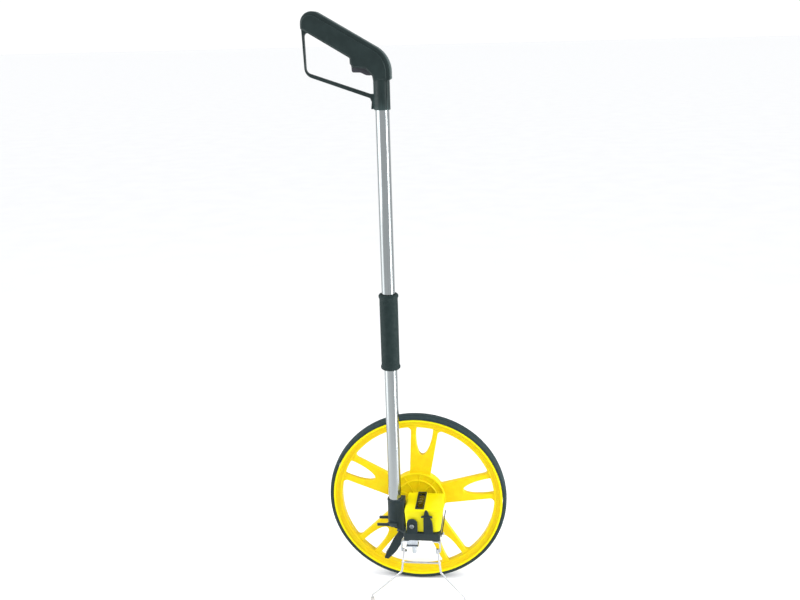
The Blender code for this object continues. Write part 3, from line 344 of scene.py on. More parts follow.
class Finish:
    """A Principled material whose colour, roughness and relief vary by noise in the object's own space."""

    def __init__(self, name, roughness, metallic=0.0, specular=0.5, ior=1.5):
        self.material = bpy.data.materials.new(name)
        self.material.use_nodes = True
        self.tree = self.material.node_tree
        self.shader = self.tree.nodes["Principled BSDF"]
        self.shader.inputs["Metallic"].default_value = metallic
        self.shader.inputs["Roughness"].default_value = roughness
        self.shader.inputs["Specular IOR Level"].default_value = specular
        self.shader.inputs["IOR"].default_value = ior
        self.place = self.tree.nodes.new("ShaderNodeTexCoord").outputs["Object"]
        self.normal = None

    def link(self, source, target):
        self.tree.links.new(source, target)

    def noise(self, size, detail=3.0, stretch=(1.0, 1.0, 1.0)):
        """Noise with features of about this size in millimetres, stretched along the axes."""
        mapping = self.tree.nodes.new("ShaderNodeMapping")
        mapping.inputs["Scale"].default_value = [1.0 / s for s in stretch]
        self.link(self.place, mapping.inputs["Vector"])
        noise = self.tree.nodes.new("ShaderNodeTexNoise")
        noise.inputs["Scale"].default_value = 1.0 / (size * MM)
        noise.inputs["Detail"].default_value = detail
        self.link(mapping.outputs["Vector"], noise.inputs["Vector"])
        return noise.outputs["Fac"]

    def span(self, value, low_in, high_in, low_out, high_out):
        node = self.tree.nodes.new("ShaderNodeMapRange")
        sockets = ("From Min", "From Max", "To Min", "To Max")
        for socket, number in zip(sockets, (low_in, high_in, low_out, high_out)):
            node.inputs[socket].default_value = number
        self.link(value, node.inputs["Value"])
        return node.outputs["Result"]

    def mix(self, share, first, second):
        node = self.tree.nodes.new("ShaderNodeMix")
        node.data_type = "RGBA"
        self.link(share, node.inputs["Factor"])
        for socket, colour in (("A", first), ("B", second)):
            target = [i for i in node.inputs if i.name == socket and i.type == "RGBA"][0]
            if isinstance(colour, tuple):
                target.default_value = (*colour, 1.0)
            else:
                self.link(colour, target)
        return [o for o in node.outputs if o.type == "RGBA"][0]

    def colour(self, main, other, size, wear_and_highlight=None):
        """Two tones by noise, and a lighter tone along the outward edges: partly rubbed wear, partly a
        painted edge highlight.
        """
        tone = self.mix(self.span(self.noise(size), 0.35, 0.65, 0.0, 1.0), main, other)
        if wear_and_highlight:
            # Painted edge highlight, partly wear: outward edges, found by pointiness, turn to the lighter
            # tone.
            geometry = self.tree.nodes.new("ShaderNodeNewGeometry")
            edges = self.span(geometry.outputs["Pointiness"], 0.53, 0.6, 0.0, 0.8)
            tone = self.mix(edges, tone, wear_and_highlight)
        self.link(tone, self.shader.inputs["Base Color"])
        return self

    def rough(self, least, most, size, stretch=(1.0, 1.0, 1.0)):
        share = self.noise(size, 4.0, stretch)
        self.link(self.span(share, 0.3, 0.7, least, most), self.shader.inputs["Roughness"])
        return self

    def relief(self, size, height, strength=0.5, detail=3.0, stretch=(1.0, 1.0, 1.0)):
        """A bump of this feature size and height in millimetres, on top of any already there."""
        bump = self.tree.nodes.new("ShaderNodeBump")
        bump.inputs["Strength"].default_value = strength
        bump.inputs["Distance"].default_value = height * MM
        self.link(self.noise(size, detail, stretch), bump.inputs["Height"])
        if self.normal is not None:
            self.link(self.normal, bump.inputs["Normal"])
        self.normal = bump.outputs["Normal"]
        self.link(self.normal, self.shader.inputs["Normal"])
        return self

    def depth_tone(self, centre, inner, outer, near, far):
        """Painted light: the inner tone within near millimetres of the plane Y = centre, turning to the outer
        one by far.
        """
        parts = self.tree.nodes.new("ShaderNodeSeparateXYZ")
        self.link(self.place, parts.inputs["Vector"])
        away = self.tree.nodes.new("ShaderNodeMath")
        away.operation = "SUBTRACT"
        away.inputs[1].default_value = centre * MM
        self.link(parts.outputs["Y"], away.inputs[0])
        size = self.tree.nodes.new("ShaderNodeMath")
        size.operation = "ABSOLUTE"
        self.link(away.outputs["Value"], size.inputs[0])
        return self.mix(self.span(size.outputs["Value"], near * MM, far * MM, 0.0, 1.0), inner, outer)


def yellow_finish():
    finish = Finish("yellow_moulding", 0.36, specular=0.12)
    # The third colour is a lighter edge tone: partly wear, partly a painted edge highlight.
    finish.colour((0.69, 0.62, 0.003), (0.65, 0.575, 0.003), 34.0, (0.76, 0.70, 0.02))
    return finish.rough(0.28, 0.44, 6.0).relief(0.7, 0.05, 0.25).relief(30.0, 0.5, 0.12).material


def wheel_finish():
    """A warmer yellow as painted shade from light bounced about the recesses, with a plain lighter one as a
    painted highlight on the rim's lips and the hub's boss, which stand out furthest.
    """
    finish = Finish("yellow_wheel", 0.4, specular=0.12)
    # Its third colour is a lighter edge tone: partly wear, partly a painted edge highlight.
    finish.colour((0.71, 0.49, 0.003), (0.69, 0.545, 0.004), 9.0, (0.78, 0.69, 0.02))
    tone = finish.shader.inputs["Base Color"].links[0].from_socket
    # Painted shade and highlight: the warm tone within 8.6 mm of the middle plane, the plain lighter one
    # beyond 10 mm.
    tone = finish.depth_tone(HUB.y, tone, (0.74, 0.665, 0.005), 8.6, 10.0)
    finish.link(tone, finish.shader.inputs["Base Color"])
    return finish.rough(0.3, 0.48, 6.0).relief(0.7, 0.05, 0.25).relief(24.0, 0.5, 0.15).material


# The third colour is a lighter edge tone: partly wear, partly a painted edge highlight.
def moulded_finish(name, main, other, wear_and_highlight, grain):
    finish = Finish(name, 0.45, specular=0.2)
    finish.colour(main, other, 14.0, wear_and_highlight)
    return finish.rough(0.36, 0.56, 3.0).relief(0.55, grain, 0.5).relief(12.0, 0.3, 0.08).material


def rubber_finish(name, main, other, grain, size):
    finish = Finish(name, 0.7, specular=0.16)
    # The edge tone is 1.6 times the main colour: partly wear, partly a painted edge highlight.
    finish.colour(main, other, 9.0, tuple(c * 1.6 for c in main))
    return finish.rough(0.58, 0.82, 4.0).relief(size, grain, 0.6).material


def metal_finish(name, main, other, least, most, stretch=(1, 1, 1), grain=0.02):
    finish = Finish(name, least, metallic=1.0)
    # The edge tone is a quarter brighter than the metal: partly wear, partly a painted edge highlight.
    finish.colour(main, other, 8.0, tuple(min(1.0, c * 1.25) for c in main))
    return finish.rough(least, most, 2.0, stretch).relief(0.35, grain, 0.3, 2.0, stretch).material


def clear_finish():
    finish = Finish("clear_window", 0.04, ior=1.49)
    finish.shader.inputs["Transmission Weight"].default_value = 1.0
    finish.colour((0.50, 0.56, 0.54), (0.46, 0.52, 0.50), 20.0)
    return finish.rough(0.02, 0.08, 5.0).relief(9.0, 0.05, 0.05).material


def floor_finish():
    finish = Finish("pale_floor", 0.85, specular=0.1)
    finish.colour((0.93, 0.93, 0.93), (0.91, 0.91, 0.915), 180.0)
    return finish.rough(0.8, 0.9, 60.0).material


yellow = yellow_finish()
yellow_wheel = wheel_finish()
# Each third colour is the lighter edge tone: partly wear, partly a painted edge highlight.
black = moulded_finish(
    "black_moulding", (0.010, 0.020, 0.023), (0.014, 0.025, 0.028), (0.06, 0.08, 0.085), 0.05
)
black_paint = moulded_finish(
    "black_paint", (0.009, 0.018, 0.020), (0.013, 0.023, 0.025), (0.07, 0.09, 0.095), 0.03
)
grip_black = moulded_finish(
    "grip_moulding", (0.009, 0.018, 0.018), (0.013, 0.024, 0.024), (0.10, 0.16, 0.16), 0.07
)
trigger_grey = moulded_finish(
    "trigger_moulding", (0.034, 0.036, 0.044), (0.042, 0.044, 0.052), (0.09, 0.09, 0.1), 0.04
)
sleeve_rubber = rubber_finish("sleeve_rubber", (0.009, 0.019, 0.019), (0.013, 0.024, 0.024), 0.10, 0.8)
tyre_rubber = rubber_finish("tyre_rubber", (0.016, 0.030, 0.032), (0.021, 0.037, 0.039), 0.15, 0.9)
pad_rubber = rubber_finish("pad_rubber", (0.014, 0.017, 0.017), (0.02, 0.024, 0.024), 0.1, 0.7)
drum_black = moulded_finish(
    "drum_moulding", (0.010, 0.011, 0.011), (0.014, 0.015, 0.015), (0.03, 0.03, 0.03), 0.02
)
digit_white = moulded_finish("digit_print", (0.74, 0.75, 0.74), (0.66, 0.67, 0.66), (0.8, 0.8, 0.8), 0.01)
nylon = moulded_finish("nylon_moulding", (0.46, 0.46, 0.45), (0.52, 0.52, 0.51), (0.6, 0.6, 0.59), 0.03)
# The tube's colour is much darker than bare aluminium: painted shade, standing in for the darker surroundings
# it mirrors.
tube_metal_painted_dark = metal_finish("drawn_tube", (0.255, 0.275, 0.28), (0.225, 0.24, 0.245), 0.12, 0.20, (1, 1, 60))
steel = metal_finish("plated_steel", (0.42, 0.43, 0.45), (0.34, 0.35, 0.37), 0.24, 0.4)
# A steel darker than the plated parts.
screw_steel = metal_finish("dark_screw_steel", (0.20, 0.22, 0.23), (0.14, 0.155, 0.165), 0.28, 0.45)
wire_steel = metal_finish("galvanised_wire", (0.50, 0.51, 0.53), (0.42, 0.43, 0.45), 0.3, 0.45, (1, 1, 8))
zinc = metal_finish("zinc_plate", (0.50, 0.54, 0.58), (0.40, 0.44, 0.48), 0.3, 0.5, grain=0.03)
brass = metal_finish("turned_brass", (0.62, 0.46, 0.18), (0.52, 0.38, 0.14), 0.25, 0.4)
clear = clear_finish()


# ---------------------------------------------------------------- wheel

RIM_R = 152.0
RIM_HALF = 10.4
RING_IN_R = 137.0
HUB_R = 50.0
SPOKES = 5
SPOKE_PHASE = math.radians(83.5)
SPOKE_HALF_IN = 18.5
SPOKE_HALF_OUT = 24.3
SLOT_HALF = 15.0
SLOT_TIP_R = 83.5
EDGE_RIB = 2.4
PLATE_HALF = 5.6
WEB_HALF = 4.5
BOSS_HALF = 12.0


def wheel_place(radius, angle):
    return (HUB.x + radius * math.cos(angle), HUB.z + radius * math.sin(angle))


def gap_outline(spoke, margin=0.0):
    """The opening between one double spoke and the next, made larger by a margin."""
    phase = SPOKE_PHASE + spoke * math.tau / SPOKES
    after = phase + math.tau / SPOKES
    outer_r, inner_r = RING_IN_R + margin, HUB_R - margin
    outer_turn = math.asin((SPOKE_HALF_OUT - margin) / outer_r)
    inner_turn = math.asin((SPOKE_HALF_IN - margin) / inner_r)
    outer = arc_with_ends(phase + outer_turn, after - outer_turn, 0.11, 16)
    inner = arc_with_ends(after - inner_turn, phase + inner_turn, 0.15, 5)
    corners = []
    for radius, angles, corner in ((outer_r, outer, 7.0), (inner_r, inner, 5.0)):
        ends = (angles[0], angles[-1])
        corners += [(*wheel_place(radius, a), corner + margin if a in ends else 0.0) for a in angles]
    return rounded(corners, 8)


def slot_outline(spoke, margin=0.0):
    """The opening inside a double spoke: a half ellipse with its round end towards the hub."""
    phase = SPOKE_PHASE + spoke * math.tau / SPOKES
    along = Vector((math.cos(phase), math.sin(phase)))
    across = Vector((-along.y, along.x))
    outer = RING_IN_R + margin
    length = outer - SLOT_TIP_R + margin
    corners = []
    for turn in arc_with_ends(0.0, math.pi, 0.22, 24):
        point = along * (outer - length * math.sin(turn)) + across * ((SLOT_HALF + margin) * math.cos(turn))
        corners.append((HUB.x + point.x, HUB.z + point.y, 3.5 + margin if turn in (0.0, math.pi) else 0.0))
    return rounded(corners, 6)


def make_wheel():
    rim = [(RIM_R, RIM_HALF, 0.8), (RIM_R, -RIM_HALF, 0.8), (148.8, -RIM_HALF, 1.2), (147.0, -6.6, 1.4)]
    rim += [(140.6, -6.0, 0.8), (139.4, -7.2, 0.8), (RING_IN_R, -7.0, 1.0), (RING_IN_R, 7.0, 1.0)]
    rim += [(139.4, 7.2, 0.8), (140.6, 6.0, 0.8), (147.0, 6.6, 1.4), (148.8, RIM_HALF, 1.2)]
    ring = turned(rounded(rim, 4), HUB, "Y", 240)
    holes = [outline(k) for k in range(SPOKES) for outline in (gap_outline, slot_outline)]
    disc = circle((HUB.x, HUB.z), RING_IN_R + 2.6, 160)
    plate = slab([disc] + holes, "XZ", HUB.y - PLATE_HALF, HUB.y + PLATE_HALF, 0.8, 2)
    inside = [outline(k, EDGE_RIB) for k in range(SPOKES) for outline in (gap_outline, slot_outline)]
    sink = [circle((HUB.x, HUB.z), RING_IN_R + 1.4, 150)] + inside
    sides = ((-BOSS_HALF, -WEB_HALF), (WEB_HALF, BOSS_HALF))
    web = merged([plate], [slab(sink, "XZ", HUB.y + near, HUB.y + far) for near, far in sides])
    face = [(HUB_R, 7.5, 1.2), (HUB_R, -9.0, 1.6), (47.2, -9.0, 0.6), (46.6, -8.1, 0.6), (36.8, -8.1, 0.6)]
    face += [(36.2, -9.0, 0.6), (34.0, -9.0, 0.6), (33.2, -8.0, 0.8), (12.6, -8.0, 1.0)]
    face += [(11.4, -BOSS_HALF, 0.8), (4.3, -BOSS_HALF, 0.3), (4.3, BOSS_HALF, 0.3), (11.4, BOSS_HALF, 0.8)]
    face += [(12.6, 6.0, 1.0), (44.0, 6.0, 0.8), (45.0, 7.5, 0.6)]
    hub = turned(rounded(face, 4), HUB, "Y", 120)
    bars = []
    for k in range(SPOKES):
        turn = Matrix.Rotation(-(SPOKE_PHASE + k * math.pi / SPOKES), 4, "Y")
        for end in (-1, 1):
            inner, outer = sorted((end * 10.5, end * 47.6))
            bar = block((inner, -8.9, -0.9), (outer, -6.0, 0.9), 0.5, 2)
            bars.append(moved(bar, Matrix.Translation(HUB * MM) @ turn))
    mesh = merged([ring, web, hub] + bars)
    show("wheel_moulding", mesh, yellow_wheel, "yellow_plastic", "wheel", "wheel")

    tread = [(152.5, 10.2, 0.3), (153.2, 11.0, 0.5), (156.6, 10.5, 1.2), (158.4, 8.4, 1.2)]
    tread += [(158.9, 5.2, 0.3), (158.0, 4.9, 0.2), (158.0, 4.2, 0.2), (WHEEL_R, 3.9, 0.3)]
    tread += [(r, -h, corner) for r, h, corner in reversed(tread)]
    mesh = turned(rounded(tread, 3), HUB, "Y", 300)
    show("tyre_moulding", mesh, tyre_rubber, "tyre_rubber", "wheel", "tyre")


# ---------------------------------------------------------------- counter

BLOCK_LEFT = -15.1
BLOCK_RIGHT = 53.0
LEAN_LEFT = 2.8
LEAN_RIGHT = 6.3
BLOCK_FRONT = -85.0
BLOCK_BACK = -18.3
BLOCK_TOP = 18.0
BLOCK_BOTTOM = -23.2
BASE_BOTTOM = -38.0
BASE_TOP = -23.5
BASE_LEFT = -16.5
BASE_RIGHT = 46.3
BASE_FRONT = -90.0
PLATE_BACK = -14.0
SHELL = 2.2
LUG_R = 9.2
COVER_SCREW = (-1.9, -10.5)
LEDGE = [(1.6, -19.5), (20.2, -19.5), (20.2, -83.0), (1.6, -83.0)]  # raised round the window


def cover_ring(z, margin):
    """The cover's outline at a height, moved inwards by a margin; its sides lean."""
    drop = (BLOCK_TOP - z) / (BLOCK_TOP - BLOCK_BOTTOM)
    left = BLOCK_LEFT + LEAN_LEFT * drop + margin
    right = BLOCK_RIGHT - LEAN_RIGHT * drop - margin
    near, far = BLOCK_FRONT + margin, BLOCK_BACK - margin
    corners = [(left, far, 3.0), (right - 4.0, far, 3.0), (right, near, 10.0), (left, near, 5.0)]
    corners = [(a, b, max(radius - margin, 0.6)) for a, b, radius in corners]
    return [tuple(hub_point(a, b, z)) for a, b in rounded(corners, 6)]


def make_cover():
    rounding = 3.4
    rings = [cover_ring(BLOCK_BOTTOM, 0.5), cover_ring(BLOCK_BOTTOM + 0.5, 0.0)]
    for turn in arc_points(0.0, math.pi / 2, 6):
        drop, margin = rounding * (1 - math.sin(turn)), rounding * (1 - math.cos(turn))
        rings.append(cover_ring(BLOCK_TOP - drop, margin))
    shell = loft(rings)
    hollow = loft([cover_ring(-30.0, SHELL), cover_ring(BLOCK_TOP - 2.0, SHELL)])
    back = block(hub_point(-11.8, -21.5, -30.0), hub_point(11.8, -17.0, 12.0), 1.5)
    gap = Vector((0.3, 0.3, 9.0))
    window = block(low("window_lens") - gap, high("window_lens") + gap)
    x, z = COVER_SCREW
    hole = rod(hub_point(x, -90, z), hub_point(x, -80, z), 1.8, 24)
    outline = rounded([(HUB.x + a, HUB.y + b, 2.0) for a, b in LEDGE], 5)
    ledge = slab([outline], "XY", HUB.z + 17.5, HUB.z + 18.25, 0.3, 1)
    mesh = merged([shell, ledge], [hollow, back, window, hole])
    show("counter_cover", mesh, yellow, "yellow_plastic", "base", "counter_housing")


def box_outline(near, far, radius):
    """The rounded rectangle between two corners, from above."""
    places = ((near.x, near.y), (near.x, far.y), (far.x, far.y), (far.x, near.y))
    return rounded([(a, b, radius) for a, b in places], 3)


def make_window():
    """The clear pane, and a black mask under it: a rim round the drums and a blank plate beyond the last."""
    near, far = low("window_lens"), high("window_lens")
    show("window_pane", block(near, far, 0.35, 2), clear, "clear_plastic", "base", "window_lens")

    near, far = near + Vector((0.2, 0.2, -1.4)), far - Vector((0.2, 0.2, 1.6))
    outer = box_outline(near, far, 1.0)
    near, far = near + Vector((0.9, 0.9, 0.0)), far - Vector((0.9, 0.9, 0.0))
    rim = slab([outer, box_outline(near, far, 0.6)], "XY", near.z, far.z, 0.2, 1)
    last_drum = high("digit_drum_5").y + 0.4
    corner = (far.x + 0.4, far.y + 0.4, far.z - 0.3)
    plate = block((near.x - 0.4, last_drum, near.z + 0.1), corner, 0.15)
    show("window_mask", merged([rim, plate]), drum_black, "black_plastic", "base")


def make_base():
    """The black base casting with its two lugs, the bearing boss behind and the tray inside."""
    corner = hub_point(BASE_RIGHT, PLATE_BACK, BASE_TOP)
    base = block(hub_point(BASE_LEFT, BASE_FRONT, BASE_BOTTOM), corner, 2.0, 4)
    plate = block(hub_point(BASE_LEFT + 1.5, -18.0, -30.0), hub_point(BASE_RIGHT - 3.5, -14.5, 13.0), 1.0)
    boss = rod(hub_point(0, -26.0, 0), hub_point(0, PLATE_BACK, 0), 11.1, 64, 0.5)
    arch = arc_points(math.pi, 0.0, 12)
    left = [(-10.9, -30.0, 0.0)]
    left += [(-1.7 + LUG_R * math.cos(a), -6.7 + LUG_R * math.sin(a), 0.0) for a in arch]
    left += [(7.5, -30.0, 0.0)]
    right = [(18.0, -30.0, 0.0), (18.0, 1.0, 3.0), (18.6, 9.5, 2.0), (19.2, 12.6, 2.0), (20.2, 17.2, 2.0)]
    right += [(21.6, 19.4, 1.0), (23.8, 19.4, 1.0), (25.6, 17.2, 2.0), (27.3, 13.0, 3.0), (28.2, 9.0, 2.0)]
    right += [(29.6, 5.6, 3.0), (33.0, -2.6, 4.0), (34.2, -12.0, 3.0), (34.2, -30.0, 0.0)]
    lugs = []
    for corners in (left, right):
        outline = rounded([(HUB.x + a, HUB.z + b, radius) for a, b, radius in corners], 4)
        lugs.append(slab([outline], "XZ", HUB.y - 89.8, HUB.y - 86.0, 0.7, 2))
    wing = [(13.8, 6.2, 0.6), (14.6, 8.6, 1.2), (20.0, 9.8, 2.0), (28.0, 9.8, 2.0), (33.2, 8.4, 1.2)]
    wing += [(34.2, 5.8, 0.6), (32.6, 6.0, 1.0), (28.0, 7.0, 2.0), (20.0, 7.0, 2.0), (15.2, 6.2, 1.0)]
    outline = rounded([(HUB.x + a, HUB.z + b, radius) for a, b, radius in wing], 3)
    wings = slab([outline], "XZ", HUB.y - 90.6, HUB.y - 86.4, 0.5, 1)
    pocket = block(hub_point(-12.0, -80.0, -34.5), hub_point(42.0, -22.0, -20.0), 1.0)
    x, z = COVER_SCREW
    bore = rod(hub_point(0, -40.0, 0), hub_point(0, -10.0, 0), 9.8, 64)
    counterbore = rod(hub_point(x, -91.0, z), hub_point(x, -89.2, z), 5.2, 48)
    hole = rod(hub_point(x, -95.0, z), hub_point(x, -85.0, z), 1.8, 24)
    mesh = merged([base, plate, boss, *lugs, wings], [pocket, bore, counterbore, hole])
    show("base_casting", mesh, black_paint, "black_metal", "base", "base_bracket")


def cross_head(name, centre, body, node, head_r, head_h, shank_r, shank, flip=1):
    """A pan-head screw along Y with a cross recess; its head is on the +Y side unless it is flipped."""
    profile = [(0.0, head_h), (head_r * 0.55, head_h * 0.98), (head_r * 0.85, head_h * 0.72)]
    profile += [(head_r, head_h * 0.3), (head_r, 0.0), (shank_r, 0.0), (shank_r, -shank), (0.0, -shank)]
    profile = [(r, h * flip) for r, h in profile]
    place = Matrix.Translation(Vector(centre) * MM) @ Euler(TURN["Y"]).to_matrix().to_4x4()
    long, wide = head_r * 0.62, head_r * 0.15
    near, far = sorted((flip * (head_h + 1.0), flip * (head_h - 1.1)))
    arms = []
    for turn in (0.35, 0.35 + math.pi / 2):
        arm = block((-long, -wide, near), (long, wide, far))
        arms.append(moved(arm, place @ Matrix.Rotation(turn, 4, "Z")))
    mesh = merged([turned(profile, centre, "Y", 40)], arms)
    show(name, mesh, screw_steel, "steel", body, node)


def make_screws():
    """The cover's screw in its lug, the grip's three screws and the socket's one."""
    x, z = COVER_SCREW
    cross_head("cover_screw", hub_point(x, -90.3, z), "base", "housing_screw", 4.0, 2.3, 1.5, 8.0, -1)
    for k in (1, 2, 3):
        node = "handle_screw_%d" % k
        place = (middle(node).x, POLE.y + 14.8, middle(node).z)
        cross_head("grip_screw_%d" % k, place, "upper_pole", node, 3.4, 1.8, 1.6, 24.8)
    place = (middle("socket_screw").x, POLE.y + 13.6, middle("socket_screw").z)
    cross_head("collar_screw", place, "base", "socket_screw", 3.7, 2.6, 1.6, 4.6)


def make_digits():
    """White numbers 0 to 9 round each drum, 0 on top; they read along -Y with their tops towards +X."""
    radius = (high("digit_drum_1").x - low("digit_drum_1").x) / 2
    bodies = ("units_drum", "tens_drum", "hundreds_drum", "thousands_drum", "ten_thousands_drum")
    for number, body in enumerate(bodies, 1):
        centre = middle("digit_drum_%d" % number)
        shape = bmesh.new()
        for digit in range(10):
            text = bpy.data.curves.new("digit", "FONT")
            text.body = str(digit)
            text.size = 7.4 * MM
            text.offset = 0.12 * MM
            text.align_x = "CENTER"
            text.align_y = "CENTER"
            text.extrude = 0.04 * MM
            text.resolution_u = 4
            mesh = curve_mesh(text)
            for vertex in mesh.vertices:
                along, up, proud = vertex.co / MM
                angle = math.tau * digit / 10 + up / radius
                reach = radius + 0.06 + proud
                place = centre + Vector((reach * math.sin(angle), -along, reach * math.cos(angle)))
                vertex.co = place * MM
            shape.from_mesh(mesh)
        mesh = bpy.data.meshes.new("digits")
        shape.to_mesh(mesh)
        shape.free()
        show("digits_%d" % number, cleaned(mesh), digit_white, "nylon_grey", body)


# ---------------------------------------------------------------- pole


def make_socket():
    top = HUB.z + 25.0
    radius = 13.2
    outside = [(0.0, top - HUB.z, 0.0), (radius - 0.1, 25.0, 0.6), (radius + 0.5, 22.5, 0.6)]
    outside += [(radius, 21.2, 0.6), (radius, -38.0, 0.0), (0.0, -38.0, 0.0)]
    socket = turned(rounded(outside, 3), (POLE.x, POLE.y, HUB.z), "Z", 72)
    corner = (HUB.x + BASE_LEFT - 0.3, POLE.y + 12.7, top - 0.6)
    flange = block((POLE.x, POLE.y - 12.7, HUB.z - 40.0), corner, 1.6, 4)
    corner = (POLE.x + 5.0, POLE.y + 15.0, HUB.z - 17.0)
    bridge = block((POLE.x - 10.0, POLE.y - 15.0, HUB.z - 24.0), corner, 1.0)
    tines = []
    for y in (POLE.y - 13.0, POLE.y + 13.0):
        corner = (POLE.x - 2.0, y + 1.6, HUB.z - 18.0)
        tines.append(block((POLE.x - 31.0, y - 1.6, HUB.z - 23.0), corner, 0.9, 3))
    web = [(POLE.x - 24.0, -21.9, 0.5), (POLE.x - 10.0, -16.0, 1.0), (POLE.x - 3.0, -16.0, 1.0)]
    web += [(POLE.x - 3.0, -26.0, 1.0), (POLE.x - 9.0, -23.6, 2.0)]
    outline = rounded([(a, HUB.z + b, radius) for a, b, radius in web], 4)
    webs = [slab([outline], "XZ", y - 1.3, y + 1.3, 0.4, 1) for y in (POLE.y - 12.4, POLE.y + 12.4)]
    bore = rod((POLE.x, POLE.y, HUB.z - 18.5), (POLE.x, POLE.y, top + 5.0), 11.3, 72)
    under = [(POLE.x - 40.0, -22.6), (POLE.x - 9.5, -22.6), (POLE.x + 20.0, -34.9), (POLE.x + 20.0, -70.0)]
    under.append((POLE.x - 40.0, -70.0))
    slant = slab([[(a, HUB.z + b) for a, b in under]], "XZ", POLE.y - 30.0, POLE.y + 30.0)
    hole = rod((POLE.x, POLE.y + 8.0, HUB.z + 6.0), (POLE.x, POLE.y + 20.0, HUB.z + 6.0), 1.9, 24)
    body = merged([socket, flange, bridge], [slant])
    mesh = merged([body, *webs, *tines], [bore, hole])
    show("socket_moulding", mesh, black, "black_plastic", "base", "pole_socket")


def make_sleeve():
    bottom, top = low("locking_sleeve").z + 3.2, high("locking_sleeve").z
    bead = [(11.4, top, 0.5), (14.6, top, 1.2), (16.4, top - 2.2, 1.6), (16.4, top - 5.0, 1.6)]
    groove = [(15.2, top - 11.0, 0.3), (14.9, top - 11.5, 0.3), (14.9, top - 12.3, 0.3)]
    outside = bead + [(15.2, top - 7.6, 1.5)] + groove + [(15.25, top - 12.8, 0.3)]
    outside += [(r, bottom + top - z, corner) for r, z, corner in reversed(outside)]
    mesh = turned(rounded(outside, 4), (POLE.x, POLE.y, 0.0), "Z", 96)
    show("sleeve_moulding", mesh, sleeve_rubber, "sleeve_rubber", "sleeve", "locking_sleeve")


# ---------------------------------------------------------------- handle

GUARD_HALF = 5.6
# Corners of the grip, clockwise, with the rounding and the kind of edge after the corner
GRIP = [
    (-155.1, 973.0, 2.0, "plain"),
    (-155.2, 1012.5, 18.0, "band"),
    (-18.6, 931.6, 44.0, "band"),
    (-18.6, 894.4, 3.0, "neck"),
    (-45.8, 894.4, 2.0, "plain"),
    (-47.0, 901.2, 2.0, "plain"),
    (-56.8, 912.2, 2.0, "plain"),
    (-76.5, 914.0, 2.0, "plain"),
    (-80.9, 920.2, 2.0, "plain"),
    (-81.1, 928.7, 2.0, "plain"),
    (-150.4, 970.4, 3.0, "plain"),
]
GUARD = [
    (-155.1, 978.0, 0.0),
    (-136.0, 978.0, 0.0),
    (-136.0, 962.3, 0.0),
    (-151.8, 971.8, 6.0),
    (-150.9, 908.0, 9.0),
    (-52.1, 873.9, 2.0),
    (-46.0, 873.9, 0.0),
    (-46.0, 850.9, 0.0),
    (-51.1, 850.9, 0.8),
    (-49.9, 862.0, 2.0),
    (-52.3, 867.7, 1.5),
    (-152.8, 903.4, 16.0),
]
# How far each kind of edge comes in at each distance from the middle plane: plain, band, neck, distance
GRIP_LEVELS = [
    (0.0, 0.0, 0.0, 9.6),
    (0.25, 0.25, 0.1, 10.7),
    (0.8, 0.9, 0.2, 11.5),
    (1.4, 2.0, 0.3, 11.9),
    (1.9, 6.2, 0.4, 12.2),
    (2.1, 6.4, 0.8, 12.9),
    (2.4, 6.7, 2.0, 13.7),
    (2.7, 7.2, 3.0, 14.05),
    (3.2, 7.9, 4.4, 14.2),
    (4.0, 8.6, 6.6, 14.2),
]


def grip_ring(plain, band, neck, y):
    """The grip's outline at a distance from its middle plane."""
    margins = {"plain": plain, "band": band, "neck": neck}
    corners = inset([corner[:3] for corner in GRIP], [margins[corner[3]] for corner in GRIP])
    return [(a, POLE.y + y, b) for a, b in rounded(corners, 12)]


def other_half(sign, gap):
    """A block that covers everything beyond the plane where the two halves of the grip meet."""
    near, far = sorted((POLE.y + sign * gap, POLE.y - sign * 30.0))
    return block((-200.0, near, 800.0), (20.0, far, 1050.0))


def make_handle():
    """The pistol grip, lofted with a wide chamfer along its back and split in two on the pole's plane."""
    rings = [grip_ring(plain, band, neck, -y) for plain, band, neck, y in reversed(GRIP_LEVELS)]
    rings += [grip_ring(plain, band, neck, y) for plain, band, neck, y in GRIP_LEVELS]
    tube_r = 11.3
    ring = [(12.9, 899.0), (12.9, 850.1), (12.3, 849.5), (tube_r, 849.5), (tube_r, 899.0)]
    slot_shape = [(-91.0, 945.0), (-91.0, 918.0), (-49.6, 896.0), (-44.6, 904.2)]
    slot_shape += [(-44.6, 926.0), (-60.0, 950.0)]
    core = [(-146.0, 978.0), (-141.0, 990.0), (-60.0, 948.0), (-50.0, 940.0)]
    core += [(-50.0, 917.0), (-63.0, 924.5)]
    for side, sign in (("left", -1), ("right", 1)):
        body = loft(rings)
        guard = slab([rounded(GUARD, 8)], "XZ", POLE.y - GUARD_HALF, POLE.y + GUARD_HALF, 1.4, 3)
        collar = merged([turned(ring, (POLE.x, POLE.y, 0.0), "Z", 72)], [other_half(sign, 0.16)])
        rib_place = (POLE.x + 9.2, POLE.y + sign * 9.2)
        rib = rod((*rib_place, 850.4), (*rib_place, 897.0), 0.9, 16, 0.3)
        bore = rod((POLE.x, POLE.y, 840.0), (POLE.x, POLE.y, 903.6), tube_r - 0.05, 72)
        pocket = slab([core], "XZ", POLE.y - 11.0, POLE.y + 11.0)
        slot = slab([slot_shape], "XZ", POLE.y - 4.5, POLE.y + 4.5)
        shell = merged([body, guard], [bore, pocket, slot, other_half(sign, 0.12)])
        mesh = merged([shell, collar, rib])
        show("grip_half_" + side, mesh, grip_black, "black_plastic", "upper_pole", "handle_" + side)


